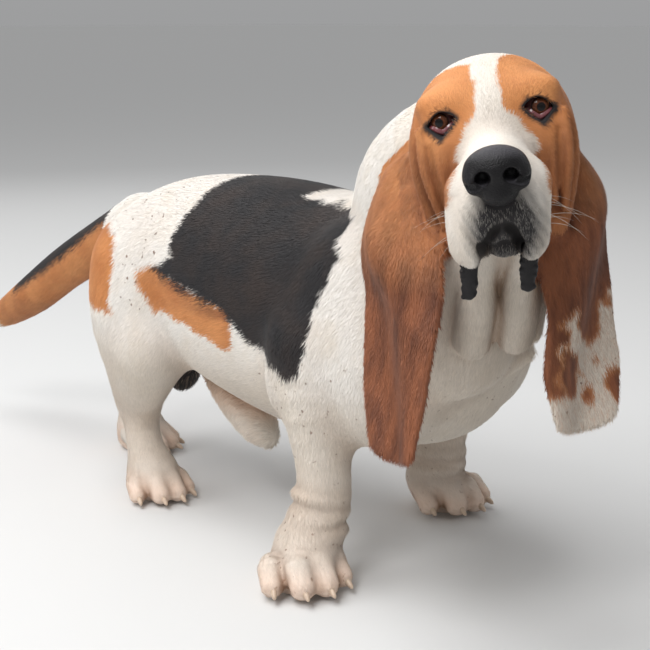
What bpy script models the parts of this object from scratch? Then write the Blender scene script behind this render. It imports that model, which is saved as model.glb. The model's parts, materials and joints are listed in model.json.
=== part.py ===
"""A basset hound at life size, standing still with its head turned to its right, in metres.

The dog faces -Y, its left is +X and its feet stand on z = 0. The flesh is one field of
distances, put together from named lumps, limbs and folds of skin. The field is turned into a
mesh, and thin cuts part it into the pieces that a person would name.
"""

import math

import bmesh
import bpy
import numpy as np
from mathutils import Matrix, Vector
from mathutils.bvhtree import BVHTree

# Driving sizes of the whole dog
WITHERS = 0.368
BACK_TOP = 0.382
CHEST_HALF_WIDTH = 0.114
CHEST_FLOOR = 0.118

# The head: where the eyes are, and how it turns, nods and leans
EYES_MIDDLE = (-0.146, -0.233, 0.476)
HEAD_TURN = math.radians(52.4)
HEAD_NOD = math.radians(-2.5)
HEAD_LEAN = math.radians(9.6)
EYE_SPREAD = 0.0405
EYE_RADIUS = 0.0118
EYE_DEPTH = 0.0100
EYE_TURN_OUT = math.radians(14)
FLEW_SWING = -0.006
MOUTH_HALF_WIDTH = 0.0175
LID_THICKNESS = 0.0034
LID_HALF_WIDTH = 0.0122
UPPER_LID_BOW = 0.0076
LOWER_LID_BOW = 0.0112

# The four feet: middle of each paw on the floor, and how far it turns outwards
FEET = {
    "front_right": ((-0.130, 0.000), math.radians(-24)),
    "front_left": ((0.150, 0.045), math.radians(-14)),
    "hind_right": ((-0.058, 0.313), math.radians(-14)),
    "hind_left": ((0.050, 0.468), math.radians(8)),
}
PASTERN_INSET = {-1: 0.027, 1: 0.013}
FRONT_PAW = (0.082, 0.094, 0.046)
HIND_PAW = (0.070, 0.088, 0.038)
CLAW_LENGTH = 0.019
CLAW_RADIUS = 0.0040

# How the pieces are cut, and how fine the surface is
GAP = 0.0003
MERGE = 0.00002
HEAD_CELL = 0.0021
BODY_CELL = 0.0062
EAR_CELL = 0.0026
NOSE_CELL = 0.0017
SOFT_CELL = 0.004
LIP_CELL = 0.0016
HEAD_TRIANGLES = 3750
BODY_TRIANGLES = 4350
EAR_TRIANGLES = 760
NOSE_TRIANGLES = 480
LIP_TRIANGLES = 150
SHEATH_TRIANGLES = 240
POUCH_TRIANGLES = 160
CLAW_SIDES = 6
CLAW_RINGS = 5


def unit(v):
    v = np.asarray(v, float)
    return v / np.linalg.norm(v)


def head_axes():
    """The dog's left, up and forward, as the head has them."""
    level = math.cos(HEAD_NOD)
    ahead = np.array([-math.sin(HEAD_TURN) * level, -math.cos(HEAD_TURN) * level, math.sin(HEAD_NOD)])
    left = np.array([math.cos(HEAD_TURN), -math.sin(HEAD_TURN), 0.0])
    up = np.cross(ahead, left)
    leaning_left = left * math.cos(HEAD_LEAN) + up * math.sin(HEAD_LEAN)
    leaning_up = up * math.cos(HEAD_LEAN) - left * math.sin(HEAD_LEAN)
    return np.stack([leaning_left, leaning_up, ahead])


HEAD = head_axes()
LEFT, UP, AHEAD = HEAD


def on_head(left, up, ahead):
    """A place on the head, given from the middle between the eyes."""
    return np.array(EYES_MIDDLE) + left * LEFT + up * UP + ahead * AHEAD


# Shapes in clay: each is a function that gives the distance to its surface, less than 0 inside


def smooth_path(points, count):
    """Points along a smooth curve through the given ones (Catmull-Rom)."""
    p = np.asarray(points, float)
    p = np.vstack([2 * p[0] - p[1], p, 2 * p[-1] - p[-2]])
    at = np.linspace(0, len(p) - 3, count)
    k = np.minimum(at.astype(int), len(p) - 4)
    t = (at - k)[:, None]
    a, b, c, d = p[k], p[k + 1], p[k + 2], p[k + 3]
    return 0.5 * (2 * b + (c - a) * t + (2 * a - 5 * b + 4 * c - d) * t**2 + (3 * b - a - 3 * c + d) * t**3)


def ball(centre, radii, axes=None):
    """An ellipsoid. The rows of axes are the directions of its three radii."""
    centre = np.asarray(centre, float)
    radii = np.asarray(radii, float)
    axes = np.eye(3) if axes is None else axes

    def distance(p):
        q = (p - centre) @ axes.T
        near = np.linalg.norm(q / radii, axis=1)
        slope = np.linalg.norm(q / radii**2, axis=1) + 1e-9
        return near * (near - 1) / slope

    reach = np.sqrt(((axes * radii[:, None]) ** 2).sum(0))
    return distance, centre - reach, centre + reach


def rod(points, radii, flat=1.0, flat_along=(1, 0, 0), count=0):
    """A bent, tapered rod through the points. flat below 1 thins it along one direction."""
    stations = np.column_stack([np.asarray(points, float), np.asarray(radii, float)])
    if count:
        stations = smooth_path(stations, count)
    axis = unit(flat_along)
    squeeze = np.eye(3) + (1 / flat - 1) * np.outer(axis, axis)
    line = stations[:, :3] @ squeeze
    thick = stations[:, 3]

    def distance(p):
        q = p @ squeeze
        best = np.full(len(p), 1e9)
        for a, b, ra, rb in zip(line[:-1], line[1:], thick[:-1], thick[1:]):
            step = b - a
            t = np.clip((q - a) @ step / (step @ step), 0, 1)
            gone = np.linalg.norm(q - a - t[:, None] * step, axis=1) - (ra + t * (rb - ra))
            best = np.minimum(best, gone)
        return best

    low = (stations[:, :3] - thick[:, None]).min(0)
    high = (stations[:, :3] + thick[:, None]).max(0)
    return distance, low, high


def spline(knots, values, at):
    """A smooth curve through a few knots, for widths and heights along the trunk."""
    path = smooth_path(np.column_stack([knots, values]), 16 * len(knots))
    return np.interp(at, path[:, 0], path[:, 1])


def sheet(places, half_thickness):
    """A thin bent sheet. places is a grid of points, and each has its own half thickness."""
    rows, columns = places.shape[:2]
    points = [Vector(q) for q in places.reshape(-1, 3)]
    faces = []
    for i in range(rows - 1):
        for j in range(columns - 1):
            a = i * columns + j
            faces.append((a, a + 1, a + columns + 1))
            faces.append((a, a + columns + 1, a + columns))
    tree = BVHTree.FromPolygons(points, faces)
    thick = half_thickness.reshape(-1)
    corners = np.array(faces)

    def distance(p):
        found = [tree.find_nearest(Vector(q)) for q in p]
        gone = np.array([f[3] for f in found])
        face = np.array([f[2] for f in found])
        return gone - thick[corners[face]].mean(1)

    most = thick.max()
    return distance, places.reshape(-1, 3).min(0) - most, places.reshape(-1, 3).max(0) + most


MARGIN = 0.03


def field_of(clay, points):
    """The distance to the whole figure: each lump of clay is blended on or carved off in turn."""
    total = np.full(len(points), 1.0)
    for (distance, low, high), blend, sign in clay:
        reach = MARGIN + blend
        near = ((points > low - reach) & (points < high + reach)).all(1)
        if not near.any():
            continue
        d = distance(points[near])
        old = total[near]
        if sign > 0:
            mix = np.clip(0.5 + 0.5 * (old - d) / blend, 0, 1)
            total[near] = old + (d - old) * mix - blend * mix * (1 - mix)
        else:
            mix = np.clip(0.5 - 0.5 * (old + d) / blend, 0, 1)
            total[near] = old + (-d - old) * mix + blend * mix * (1 - mix)
    return total


def both_sides(make):
    """The same piece of clay for the dog's right (-1) and its left (+1)."""
    return [item for side in (-1, 1) for item in make(side)]


# The trunk


def trunk():
    """Ribcage, belly and rump: an oval whose height and width change from front to back."""
    knots = [-0.15, -0.10, -0.04, 0.03, 0.12, 0.20, 0.28, 0.345, 0.393, 0.424]
    tops = [0.275, 0.322, 0.352, WITHERS, BACK_TOP - 0.002, BACK_TOP, 0.376, 0.356, 0.326, 0.285]
    floors = [0.215, 0.160, 0.128, CHEST_FLOOR, 0.126, 0.143, 0.165, 0.190, 0.216, 0.255]
    broad = CHEST_HALF_WIDTH
    halves = [0.030, 0.078, 0.100, broad - 0.002, broad, broad - 0.003, 0.098, 0.086, 0.066, 0.030]
    y_low, y_high = knots[0], knots[-1]

    def distance(p):
        y = np.clip(p[:, 1], y_low, y_high)
        top = spline(knots, tops, y)
        floor = spline(knots, floors, y)
        half = spline(knots, halves, y)
        tall = (top - floor) / 2
        across = p[:, 0] / half
        upright = (p[:, 2] - (top + floor) / 2) / tall
        # A barrel is fuller than an ellipse
        fullness = 2.3
        round_way = (np.abs(across) ** fullness + np.abs(upright) ** fullness) ** (1 / fullness)
        beyond = np.abs(p[:, 1] - y)
        return (round_way - 1) * np.minimum(half, tall) + 0.9 * beyond

    low = np.array([-broad, y_low, min(floors)])
    high = np.array([broad, y_high, BACK_TOP])
    return distance, low, high


def trunk_clay():
    clay = [(trunk(), 0.03, 1)]
    clay.append((ball((0.0, -0.070, 0.235), (0.075, 0.072, 0.088)), 0.03, 1))
    return clay


def shoulder_clay(side):
    """Shoulder blade and upper arm under loose skin. The right leg stands a little further forward."""
    shift = FEET["front_right" if side < 0 else "front_left"][0][1] - 0.03
    blade = ball((side * 0.080, -0.020 + 0.3 * shift, 0.255), (0.046, 0.072, 0.100))
    point = ball((side * 0.078, -0.052 + 0.3 * shift, 0.222), (0.050, 0.066, 0.072))
    return [(blade, 0.03, 1), (point, 0.03, 1)]


# Legs


# Rolls of loose skin over the wrist: height, half width, half thickness and tilt in degrees
WRIST_ROLLS = ((0.056, 0.0300, 0.0115, 5), (0.073, 0.0305, 0.0110, -7), (0.091, 0.0290, 0.0085, 6))


def front_leg_clay(side):
    """A short, heavy, slightly bowed foreleg in loose skin that wrinkles above the paw."""
    (x, y), _ = FEET["front_right" if side < 0 else "front_left"]
    inset = side * PASTERN_INSET[side]
    line = [
        (side * 0.094, y + 0.014, 0.235),
        (side * 0.102, y + 0.004, 0.180),
        (x - inset, y - 0.006, 0.125),
        (x - inset, y - 0.004, 0.080),
        (x - inset * 0.5, y + 0.008, 0.042),
    ]
    clay = [(rod(line, [0.046, 0.036, 0.0285, 0.0280, 0.027], count=12), 0.025, 1)]
    elbow = ball((side * 0.104, y + 0.036, 0.194), (0.022, 0.024, 0.030))
    clay.append((elbow, 0.02, 1))
    for height, wide, tall, tilt in WRIST_ROLLS:
        lean = math.radians(tilt) * side
        across = (math.cos(lean), 0, math.sin(lean))
        axes = np.array([across, (0, 1, 0), (-across[2], 0, across[0])])
        clay.append((ball((x - inset * 0.95, y - 0.002, height), (wide, wide, tall), axes), 0.008, 1))
    return clay


def hind_leg_clay(side):
    """Rounded thigh, stifle, second thigh sloping back to the hock, and upright shank."""
    (x, y), _ = FEET["hind_right" if side < 0 else "hind_left"]
    stretch = y - FEET["hind_right"][0][1]
    hip = (side * 0.062, 0.325 + 0.10 * stretch, 0.275)
    stifle = (side * 0.082, 0.284 + 0.50 * stretch, 0.185)
    hock = (x, y + 0.025, 0.108)
    thigh = ball((side * 0.072, 0.314 + 0.26 * stretch, 0.238), (0.044, 0.074, 0.098))
    ham = rod([hip, (side * 0.074, 0.323 + 0.42 * stretch, 0.215), (x, y + 0.032, 0.135)],
              [0.048, 0.043, 0.026], count=8)
    calf = rod([stifle, ((stifle[0] + x) / 2, (stifle[1] + hock[1]) / 2 + 0.004, 0.142), hock],
               [0.040, 0.034, 0.0225], count=8)
    shank = rod([hock, (x, y + 0.020, 0.070), (x, y + 0.008, 0.036)], [0.0225, 0.0215, 0.024], count=6)
    heel = ball((x, y + 0.040, 0.112), (0.014, 0.013, 0.018))
    return [(thigh, 0.025, 1), (ham, 0.02, 1), (calf, 0.025, 1), (shank, 0.015, 1), (heel, 0.012, 1)]


def foot_frame(name):
    """The middle of a paw on the floor, with its directions sideways and ahead."""
    (x, y), turn = FEET[name]
    ahead = np.array([math.sin(turn), -math.cos(turn), 0.0])
    aside = np.array([math.cos(turn), math.sin(turn), 0.0])
    return np.array([x, y, 0.0]), aside, ahead


# Toes of a paw, as shares of its width and length: aside, ahead and size
TOES = ((-0.43, 0.16, 0.92), (-0.145, 0.355, 1.03), (0.14, 0.36, 0.98), (0.41, 0.18, 0.88))


def toe_middles(name):
    """Each toe's middle and size. The two in the middle reach further ahead."""
    wide, long, tall = FRONT_PAW if name.startswith("front") else HIND_PAW
    origin, aside, ahead = foot_frame(name)
    for across, forward, size in TOES:
        place = origin + aside * across * wide + ahead * forward * long
        yield place, size * wide * 0.162, size * tall, unit(ahead + aside * across * 0.55)


def paw_clay(name):
    """A big round paw: a pad, the top of the foot, and four knuckled toes."""
    wide, long, tall = FRONT_PAW if name.startswith("front") else HIND_PAW
    origin, aside, ahead = foot_frame(name)
    axes = np.stack([aside, ahead, (0, 0, 1)])
    up = np.array([0, 0, 1.0])
    sole = origin - ahead * 0.03 * long + up * 0.36 * tall
    instep = origin - ahead * 0.04 * long + up * 0.80 * tall
    instep -= aside * math.copysign(0.15 * wide, origin[0]) * name.startswith("front")
    clay = [(ball(sole, (0.40 * wide, 0.40 * long, 0.55 * tall), axes), 0.014, 1)]
    clay.append((ball(instep, (0.36 * wide, 0.34 * long, 0.50 * tall), axes), 0.02, 1))
    # Two wrinkles cross the top of the foot behind the toes
    for forward, height, reach in ((0.05, 1.00, 0.30), (0.18, 0.80, 0.36)):
        wrinkle = [origin + aside * a * reach * wide + ahead * (forward - 0.10 * a * a) * long
                   + up * (height - 0.30 * a * a) * tall for a in (-1, -0.5, 0, 0.5, 1)]
        clay.append((rod(wrinkle, [0.004, 0.0065, 0.007, 0.0065, 0.004], count=9), 0.005, 1))
    for place, half, high, aim in toe_middles(name):
        knuckle = place - aim * 0.007 + up * high * 0.60
        tip = place + aim * 0.006 + up * high * 0.36
        back = place - aim * 0.018 + up * high * 0.66
        toe = rod([back, knuckle, tip], [half * 0.85, half * 1.14, half * 1.02])
        clay.append((toe, 0.0075, 1))
    return clay


# Tail and the soft parts under the belly


def tail_clay():
    """A thick tail that hangs back and down, and thins to its tip."""
    line = [(0.0, 0.395, 0.310), (0.0, 0.450, 0.287), (0.0, 0.545, 0.240), (0.0, 0.630, 0.190),
            (0.0, 0.705, 0.152), (0.0, 0.760, 0.134)]
    return [(rod(line, [0.036, 0.031, 0.0280, 0.0260, 0.018, 0.0060], count=20), 0.03, 1)]


def belly_clay():
    """The sheath that hangs under the belly, and the scrotum between the thighs."""
    line = [(0.0, 0.265, 0.168), (-0.004, 0.230, 0.132), (-0.008, 0.190, 0.104), (-0.008, 0.172, 0.090)]
    sheath = rod(line, [0.026, 0.026, 0.023, 0.013], count=8)
    pouch = ball((0.0, 0.328, 0.150), (0.026, 0.024, 0.036))
    return [(sheath, 0.02, 1), (pouch, 0.012, 1)]


# Neck


def neck_clay():
    """A strong arched neck, with the loose folds of the throat hanging down its front."""
    crest = [(0.0, 0.022, 0.276), (-0.020, -0.056, 0.335), (-0.035, -0.089, 0.400),
             on_head(0, -0.030, -0.098)]
    clay = [(rod(crest, [0.091, 0.075, 0.072, 0.056], count=24), 0.03, 1)]
    throat = [on_head(0, -0.066, -0.020), (-0.098, -0.168, 0.345), (-0.060, -0.130, 0.265)]
    clay.append((rod(throat, [0.042, 0.054, 0.060], count=14), 0.03, 1))
    for side in (-1, 1):
        fold = [on_head(side * 0.015, -0.088, 0.014)]
        for place in ((-0.120, -0.228, 0.350), (-0.113, -0.222, 0.315), (-0.100, -0.208, 0.284)):
            fold.append(place + side * 0.0185 * LEFT)
        clay.append((rod(fold, [0.010, 0.0155, 0.0185, 0.0185], count=14), 0.006, 1))
        # A lesser fold hangs outside it, behind the ear
        hem = [on_head(side * 0.040, -0.090, -0.020), (-0.100, -0.196, 0.340) + side * 0.046 * LEFT,
               (-0.086, -0.178, 0.275) + side * 0.048 * LEFT]
        clay.append((rod(hem, [0.010, 0.0150, 0.0120], count=10), 0.012, 1))
    return clay


# Head


def skull_clay():
    clay = [(ball(on_head(-0.001, -0.007, -0.068), (0.0625, 0.0505, 0.083), HEAD), 0.014, 1)]
    clay.append((ball(on_head(0, 0.000, -0.114), (0.034, 0.034, 0.038), HEAD), 0.014, 1))
    return clay


def muzzle_clay():
    """The long muzzle, its bridge almost straight from between the eyes to the nose."""
    bridge = rod([on_head(0, -0.034, -0.030), on_head(0, -0.040, 0.030), on_head(0, -0.042, 0.058)],
                 [0.033, 0.0290, 0.0262], count=8)
    clay = [(bridge, 0.02, 1)]
    jaw = rod([on_head(0, -0.074, -0.040), on_head(-0.001, -0.083, 0.015), on_head(-0.002, -0.083, 0.053)],
              [0.026, 0.0160, 0.0130], count=8)
    clay.append((jaw, 0.008, 1))
    return clay


OUTER_FOLD = {-1: 0.0605, 1: 0.0560}


def face_clay(side):
    """Cheek, brow, the hanging flew and the folds of loose skin beside the eye."""
    cheek = ball(on_head(side * 0.041, -0.034, -0.040), (0.027, 0.045, 0.052), HEAD)
    brow = ball(on_head(side * 0.036, 0.013, -0.016), (0.021, 0.011, 0.018), HEAD)
    flew_top = on_head(side * 0.0200 - 0.001, -0.052, 0.046)
    flew_foot = on_head(side * 0.0225 + FLEW_SWING, -0.092, 0.048)
    flew = rod([flew_top, flew_foot], [0.0220, 0.0170])
    drape = ball(on_head(side * 0.0235 + FLEW_SWING, -0.080, 0.036), (0.0150, 0.034, 0.036), HEAD)
    lip = ball(on_head(side * 0.012, -0.064, 0.068), (0.0205, 0.026, 0.0190), HEAD)
    clay = [(cheek, 0.02, 1), (brow, 0.016, 1), (flew, 0.010, 1), (drape, 0.008, 1), (lip, 0.008, 1)]
    # Long folds of loose skin fall from beside the eye to the throat, with creases between them
    far = OUTER_FOLD[side]
    outer = [on_head(side * (far - 0.0070), 0.005, -0.026), on_head(side * (far + 0.001), -0.020, -0.020),
             on_head(side * far, -0.055, -0.018), on_head(side * (far - 0.008), -0.092, -0.024),
             on_head(side * (far - 0.022), -0.130, -0.034)]
    middle = [on_head(side * 0.0575, -0.006, -0.005), on_head(side * 0.0565, -0.030, 0.0005),
              on_head(side * 0.0535, -0.054, 0.0015), on_head(side * 0.0490, -0.084, -0.006)]
    inner = [on_head(side * 0.044, -0.024, 0.006), on_head(side * 0.044, -0.045, 0.008),
             on_head(side * 0.041, -0.074, 0.004)]
    creases = [([on_head(side * 0.0620, 0.002, -0.012), on_head(side * 0.0625, -0.020, -0.007),
                 on_head(side * 0.0615, -0.040, -0.005), on_head(side * 0.0580, -0.060, -0.006),
                 on_head(side * 0.0530, -0.085, -0.012)], 0.0026),
               ([on_head(side * 0.0530, -0.018, 0.0055), on_head(side * 0.0515, -0.034, 0.0100),
                 on_head(side * 0.0490, -0.050, 0.0105), on_head(side * 0.0465, -0.068, 0.0080)], 0.0020),
               ([on_head(side * 0.0335, -0.018, 0.0165), on_head(side * 0.0370, -0.036, 0.0185),
                 on_head(side * 0.0400, -0.052, 0.0180)], 0.0016)]
    clay.append((rod(outer, [0.006, 0.0085, 0.0090, 0.0070, 0.0030], count=14), 0.008, 1))
    clay.append((rod(middle, [0.004, 0.0065, 0.0065, 0.004], count=8), 0.005, 1))
    clay.append((rod(inner, [0.003, 0.0055, 0.004], count=6), 0.005, 1))
    for line, width in creases:
        widths = [0.0002] + [width] * (len(line) - 2) + [0.0002]
        clay.append((rod(line, widths, count=14), 0.005, -1))
    return clay


def eye_place(side):
    """The middle of an eyeball, and the way that it looks."""
    gaze = unit(math.cos(EYE_TURN_OUT) * AHEAD + side * math.sin(EYE_TURN_OUT) * LEFT)
    iris = on_head(side * EYE_SPREAD, 0, 0)
    return iris - gaze * EYE_DEPTH, gaze


def eye_axes(side):
    """An eye's own directions: outwards, up, and the way that it looks."""
    middle, gaze = eye_place(side)
    out = unit(side * LEFT - (side * LEFT @ gaze) * gaze)
    return middle, np.stack([out, side * np.cross(gaze, out), gaze])


def lid_slit(side):
    """The opening between the lids: pointed at its corners, and sagging below."""
    middle, axes = eye_axes(side)
    inwards = 0.002
    slope = 0.16

    def distance(p):
        out, up, ahead = ((p - middle) @ axes.T).T
        along = (out + inwards) / LID_HALF_WIDTH
        arch = 1 - np.abs(along) ** 1.7
        sag = 1 - np.abs(along) ** 1.25
        height = up + slope * out
        return np.max([height - UPPER_LID_BOW * arch, -height - LOWER_LID_BOW * sag, -ahead], axis=0)

    return distance, middle - 0.020, middle + 0.020


def lid_clay(side):
    """The lids: a shell over the eyeball, hollow for it, with the slit cut through."""
    middle, axes = eye_axes(side)
    out, up, gaze = axes
    lids = ball(middle, (EYE_RADIUS + LID_THICKNESS,) * 3)
    bag = rod([middle + out * 0.012 - up * 0.013 + gaze * 0.003, middle - up * 0.018 + gaze * 0.005,
               middle - out * 0.013 - up * 0.011 + gaze * 0.005], [0.003, 0.005, 0.003], count=6)
    return [(lids, 0.006, 1), (bag, 0.006, 1), (ball(middle, (EYE_RADIUS + GAP,) * 3), 0.0005, -1),
            (lid_slit(side), 0.0012, -1)]


def mouth_clay():
    """The line of the mouth: it arches over the chin and runs back inside each flew."""
    line = []
    for across, height, ahead in ((-1.0, -0.112, 0.040), (-0.92, -0.096, 0.058), (-0.55, -0.081, 0.076),
                                  (0, -0.075, 0.086), (0.55, -0.081, 0.076), (0.92, -0.096, 0.058),
                                  (1.0, -0.112, 0.040)):
        swing = FLEW_SWING * (-0.070 - height) / 0.030
        line.append(on_head(across * MOUTH_HALF_WIDTH + max(swing, FLEW_SWING), height, ahead))
    thick = [0.0040, 0.0042, 0.0042, 0.0040, 0.0042, 0.0042, 0.0040]
    split = rod([on_head(0, -0.056, 0.100), on_head(0, -0.073, 0.090)], [0.0016, 0.0020])
    # The flews hang apart below the chin, which stands back between them
    space = rod([on_head(-0.002, -0.096, 0.088), on_head(-0.005, -0.140, 0.056)], [0.0120, 0.0150])
    chin = ball(on_head(-0.002, -0.094, 0.047), (0.0150, 0.0125, 0.0205), HEAD)
    return [(space, 0.006, -1), (chin, 0.004, 1), (rod(line, thick, count=24), 0.003, -1), (split, 0.002, -1)]


def nose_clay():
    """Nose leather: a broad pad with a nostril each side, the comma-shaped slits and a split below."""
    clay = [(ball(on_head(0, -0.030, 0.087), (0.0246, 0.0172, 0.0190), HEAD), 0.005, 1)]
    clay.append((ball(on_head(0, -0.047, 0.086), (0.0150, 0.0125, 0.0165), HEAD), 0.006, 1))
    for side in (-1, 1):
        wing = ball(on_head(side * 0.0160, -0.0370, 0.0895), (0.0098, 0.0112, 0.0140), HEAD)
        clay.append((wing, 0.004, 1))
    for side in (-1, 1):
        hole = rod([on_head(side * 0.0100, -0.0345, 0.1110), on_head(side * 0.0110, -0.0350, 0.0940)],
                   [0.0066, 0.0046])
        slit = rod([on_head(side * 0.0140, -0.0375, 0.1080), on_head(side * 0.0205, -0.0400, 0.1010),
                    on_head(side * 0.0250, -0.0395, 0.0930)], [0.0036, 0.0028, 0.0018])
        clay.append((hole, 0.002, -1))
        clay.append((slit, 0.002, -1))
    split = rod([on_head(0, -0.040, 0.1080), on_head(0, -0.062, 0.1030)], [0.0011, 0.0016])
    clay.append((split, 0.0015, -1))
    return clay


LEVEL_LEFT = unit(LEFT * (1, 1, 0))
LEVEL_AHEAD = unit(AHEAD * (1, 1, 0))


def ear_sheet(side):
    """One long, low-set ear: it hangs from beside the cheek, folds inwards and ends in a round tip."""
    rows, columns = 40, 17
    if side < 0:
        root = on_head(-0.054, -0.026, -0.082)
        line = [root, on_head(-0.084, -0.056, -0.071), (-0.180, -0.150, 0.362), (-0.182, -0.166, 0.312),
                (-0.192, -0.176, 0.252), (-0.208, -0.188, 0.193)]
        widths = [0.056, 0.086, 0.100, 0.102, 0.096, 0.088, 0.062]
        turns = [56, 50, 44, 42, 38, 36, 36]
    else:
        root = on_head(0.054, -0.044, -0.082)
        line = [root, on_head(0.070, -0.080, -0.066), (-0.052, -0.269, 0.376), (-0.058, -0.272, 0.328),
                (-0.068, -0.277, 0.270), (-0.076, -0.289, 0.213)]
        widths = [0.044, 0.064, 0.096, 0.100, 0.096, 0.104, 0.076]
        turns = [56, 50, 42, 36, 34, 38, 42]
    spine = smooth_path(line, rows)
    s = np.linspace(0, 1, rows)
    knots = np.linspace(0, 1, 7)
    wide = np.interp(s, knots, widths)
    turn = np.radians(np.interp(s, knots, turns))
    t = np.linspace(-1, 1, columns)
    places = np.zeros((rows, columns, 3))
    half = np.zeros((rows, columns))
    # Across the ear, from its front edge by the cheek to its back edge by the neck
    for i in range(rows):
        across = unit(LEVEL_LEFT * side * math.sin(turn[i]) - LEVEL_AHEAD * math.cos(turn[i]))
        away = unit(np.cross(across, (0, 0, 1)))
        away = away if away @ (side * LEFT + AHEAD) > 0 else -away
        cup = 0.016 * math.sin(math.pi * min(1, 0.35 + s[i])) + 0.004
        for j in range(columns):
            u = t[j]
            fold = 0.006 * math.sin(3.1 * u + 5.0 * s[i]) * min(1, 2.5 * s[i])
            # The corners at the tip are rounded off upwards
            rise = np.array([0, 0, 0.036 * u * u * max(0, s[i] - 0.75)])
            places[i, j] = spine[i] + across * u * wide[i] / 2 + away * (fold - cup * u * u) + rise
            half[i, j] = 0.0042 - 0.0016 * abs(u) ** 3
    return sheet(places, half)


# From clay to mesh

CORNERS = np.array([(i, j, k) for i in (0, 1) for j in (0, 1) for k in (0, 1)])
EDGES = [(a, b) for a in range(8) for b in range(a + 1, 8) if abs(CORNERS[a] - CORNERS[b]).sum() == 1]


def sampled(clay, low, high, cell, coarse=4):
    """The field on a grid. It is worked out in full only in the blocks that the surface may cross."""
    low = np.array(low, float)
    blocks = np.ceil((np.array(high) - low) / (cell * coarse)).astype(int)
    axes = [low[i] + cell * coarse * np.arange(blocks[i]) + cell * (coarse - 1) / 2 for i in range(3)]
    where = np.stack(np.meshgrid(*axes, indexing="ij"), -1).reshape(-1, 3)
    rough = field_of(clay, where).reshape(blocks)
    values = rough.repeat(coarse, 0).repeat(coarse, 1).repeat(coarse, 2)
    near = np.argwhere(np.abs(rough) < cell * coarse * 1.3 + 0.004)
    offsets = np.stack(np.meshgrid(*[np.arange(coarse)] * 3, indexing="ij"), -1).reshape(-1, 3)
    index = (near[:, None] * coarse + offsets[None]).reshape(-1, 3)
    for start in range(0, len(index), 300000):
        part = index[start:start + 300000]
        values[tuple(part.T)] = field_of(clay, low + part * cell)
    return values, low


def fill_pinches(values, cell):
    """Fills in where two lumps meet along an edge only, which would leave a skin that touches itself."""
    for _ in range(12):
        inside = values < 0
        found = 0
        for one, two in ((0, 1), (0, 2), (1, 2)):
            u = np.eye(3, dtype=int)[one]
            w = np.eye(3, dtype=int)[two]
            corners = [u * 0, u, w, u + w]
            reach = np.array(values.shape) - u - w
            near, aside, above, far = [inside[tuple(map(slice, c, c + reach))] for c in corners]
            pinched = np.argwhere((near == far) & (aside == above) & (near != aside))
            found += len(pinched)
            for c in corners:
                at = tuple((pinched + c).T)
                values[at] = np.minimum(values[at], -0.05 * cell)
        if not found:
            break
    return values


def surface_of(values, low, cell):
    """One point in each grid cell that the surface crosses, joined into quads that face out."""
    values = fill_pinches(values, cell)
    inside = values < 0
    shape = tuple(n - 1 for n in values.shape)
    count = np.zeros(shape, np.int8)
    for c in CORNERS:
        count += inside[c[0]:c[0] + shape[0], c[1]:c[1] + shape[1], c[2]:c[2] + shape[2]]
    cells = np.argwhere((count > 0) & (count < 8))
    number = np.full(shape, -1)
    number[tuple(cells.T)] = np.arange(len(cells))
    v = np.stack([values[tuple((cells + c).T)] for c in CORNERS], 1)
    total = np.zeros((len(cells), 3))
    hits = np.zeros(len(cells))
    for a, b in EDGES:
        cut = (v[:, a] < 0) != (v[:, b] < 0)
        t = np.where(cut, v[:, a] / np.where(cut, v[:, a] - v[:, b], 1), 0)
        total += cut[:, None] * (CORNERS[a] + t[:, None] * (CORNERS[b] - CORNERS[a]))
        hits += cut
    points = low + (cells + total / hits[:, None]) * cell
    faces = []
    for axis in range(3):
        one, u, w = np.roll(np.eye(3, dtype=int), -axis, 0)
        first = inside[tuple(slice(0, n - o) for n, o in zip(inside.shape, one))]
        second = inside[tuple(slice(o, n) for n, o in zip(inside.shape, one))]
        for flip, crossing in ((False, first & ~second), (True, ~first & second)):
            at = np.argwhere(crossing)
            ring = np.stack([at, at - u, at - u - w, at - w], 1)
            whole = ((ring >= 0) & (ring < shape)).all((1, 2))
            quad = number[tuple(ring[whole].transpose(2, 0, 1))]
            faces.append(quad if not flip else quad[:, ::-1])
    return points, np.concatenate(faces)


def mesh_object(name, points, faces):
    mesh = bpy.data.meshes.new(name)
    mesh.from_pydata([tuple(p) for p in points], [], [tuple(f) for f in faces])
    mesh.update()
    obj = bpy.data.objects.new(name, mesh)
    bpy.context.collection.objects.link(obj)
    return obj


def applied(obj):
    """The object with its modifiers worked into its mesh."""
    bpy.context.view_layer.update()
    graph = bpy.context.evaluated_depsgraph_get()
    mesh = bpy.data.meshes.new_from_object(obj.evaluated_get(graph))
    old = obj.data
    obj.modifiers.clear()
    obj.data = mesh
    bpy.data.meshes.remove(old)
    return obj


def sculpted(name, clay, low, high, cell, triangles):
    """Clay turned into a closed mesh of about so many triangles."""
    values, low = sampled(clay, low, high, cell)
    obj = mesh_object(name, *surface_of(values, low, cell))
    keep_largest(obj)
    fewer = obj.modifiers.new("fewer", "DECIMATE")
    fewer.ratio = triangles / (2 * len(obj.data.polygons))
    return applied(obj)


def islands(bm):
    """The closed surfaces of a mesh, as lists of vertices."""
    left = set(bm.verts)
    found = []
    while left:
        stack = [left.pop()]
        island = []
        while stack:
            v = stack.pop()
            island.append(v)
            for edge in v.link_edges:
                other = edge.other_vert(v)
                if other in left:
                    left.remove(other)
                    stack.append(other)
        found.append(island)
    return found


def keep_largest(obj):
    bm = bmesh.new()
    bm.from_mesh(obj.data)
    parts = sorted(islands(bm), key=len)
    bmesh.ops.delete(bm, geom=[v for part in parts[:-1] for v in part], context="VERTS")
    bm.to_mesh(obj.data)
    bm.free()


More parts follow.
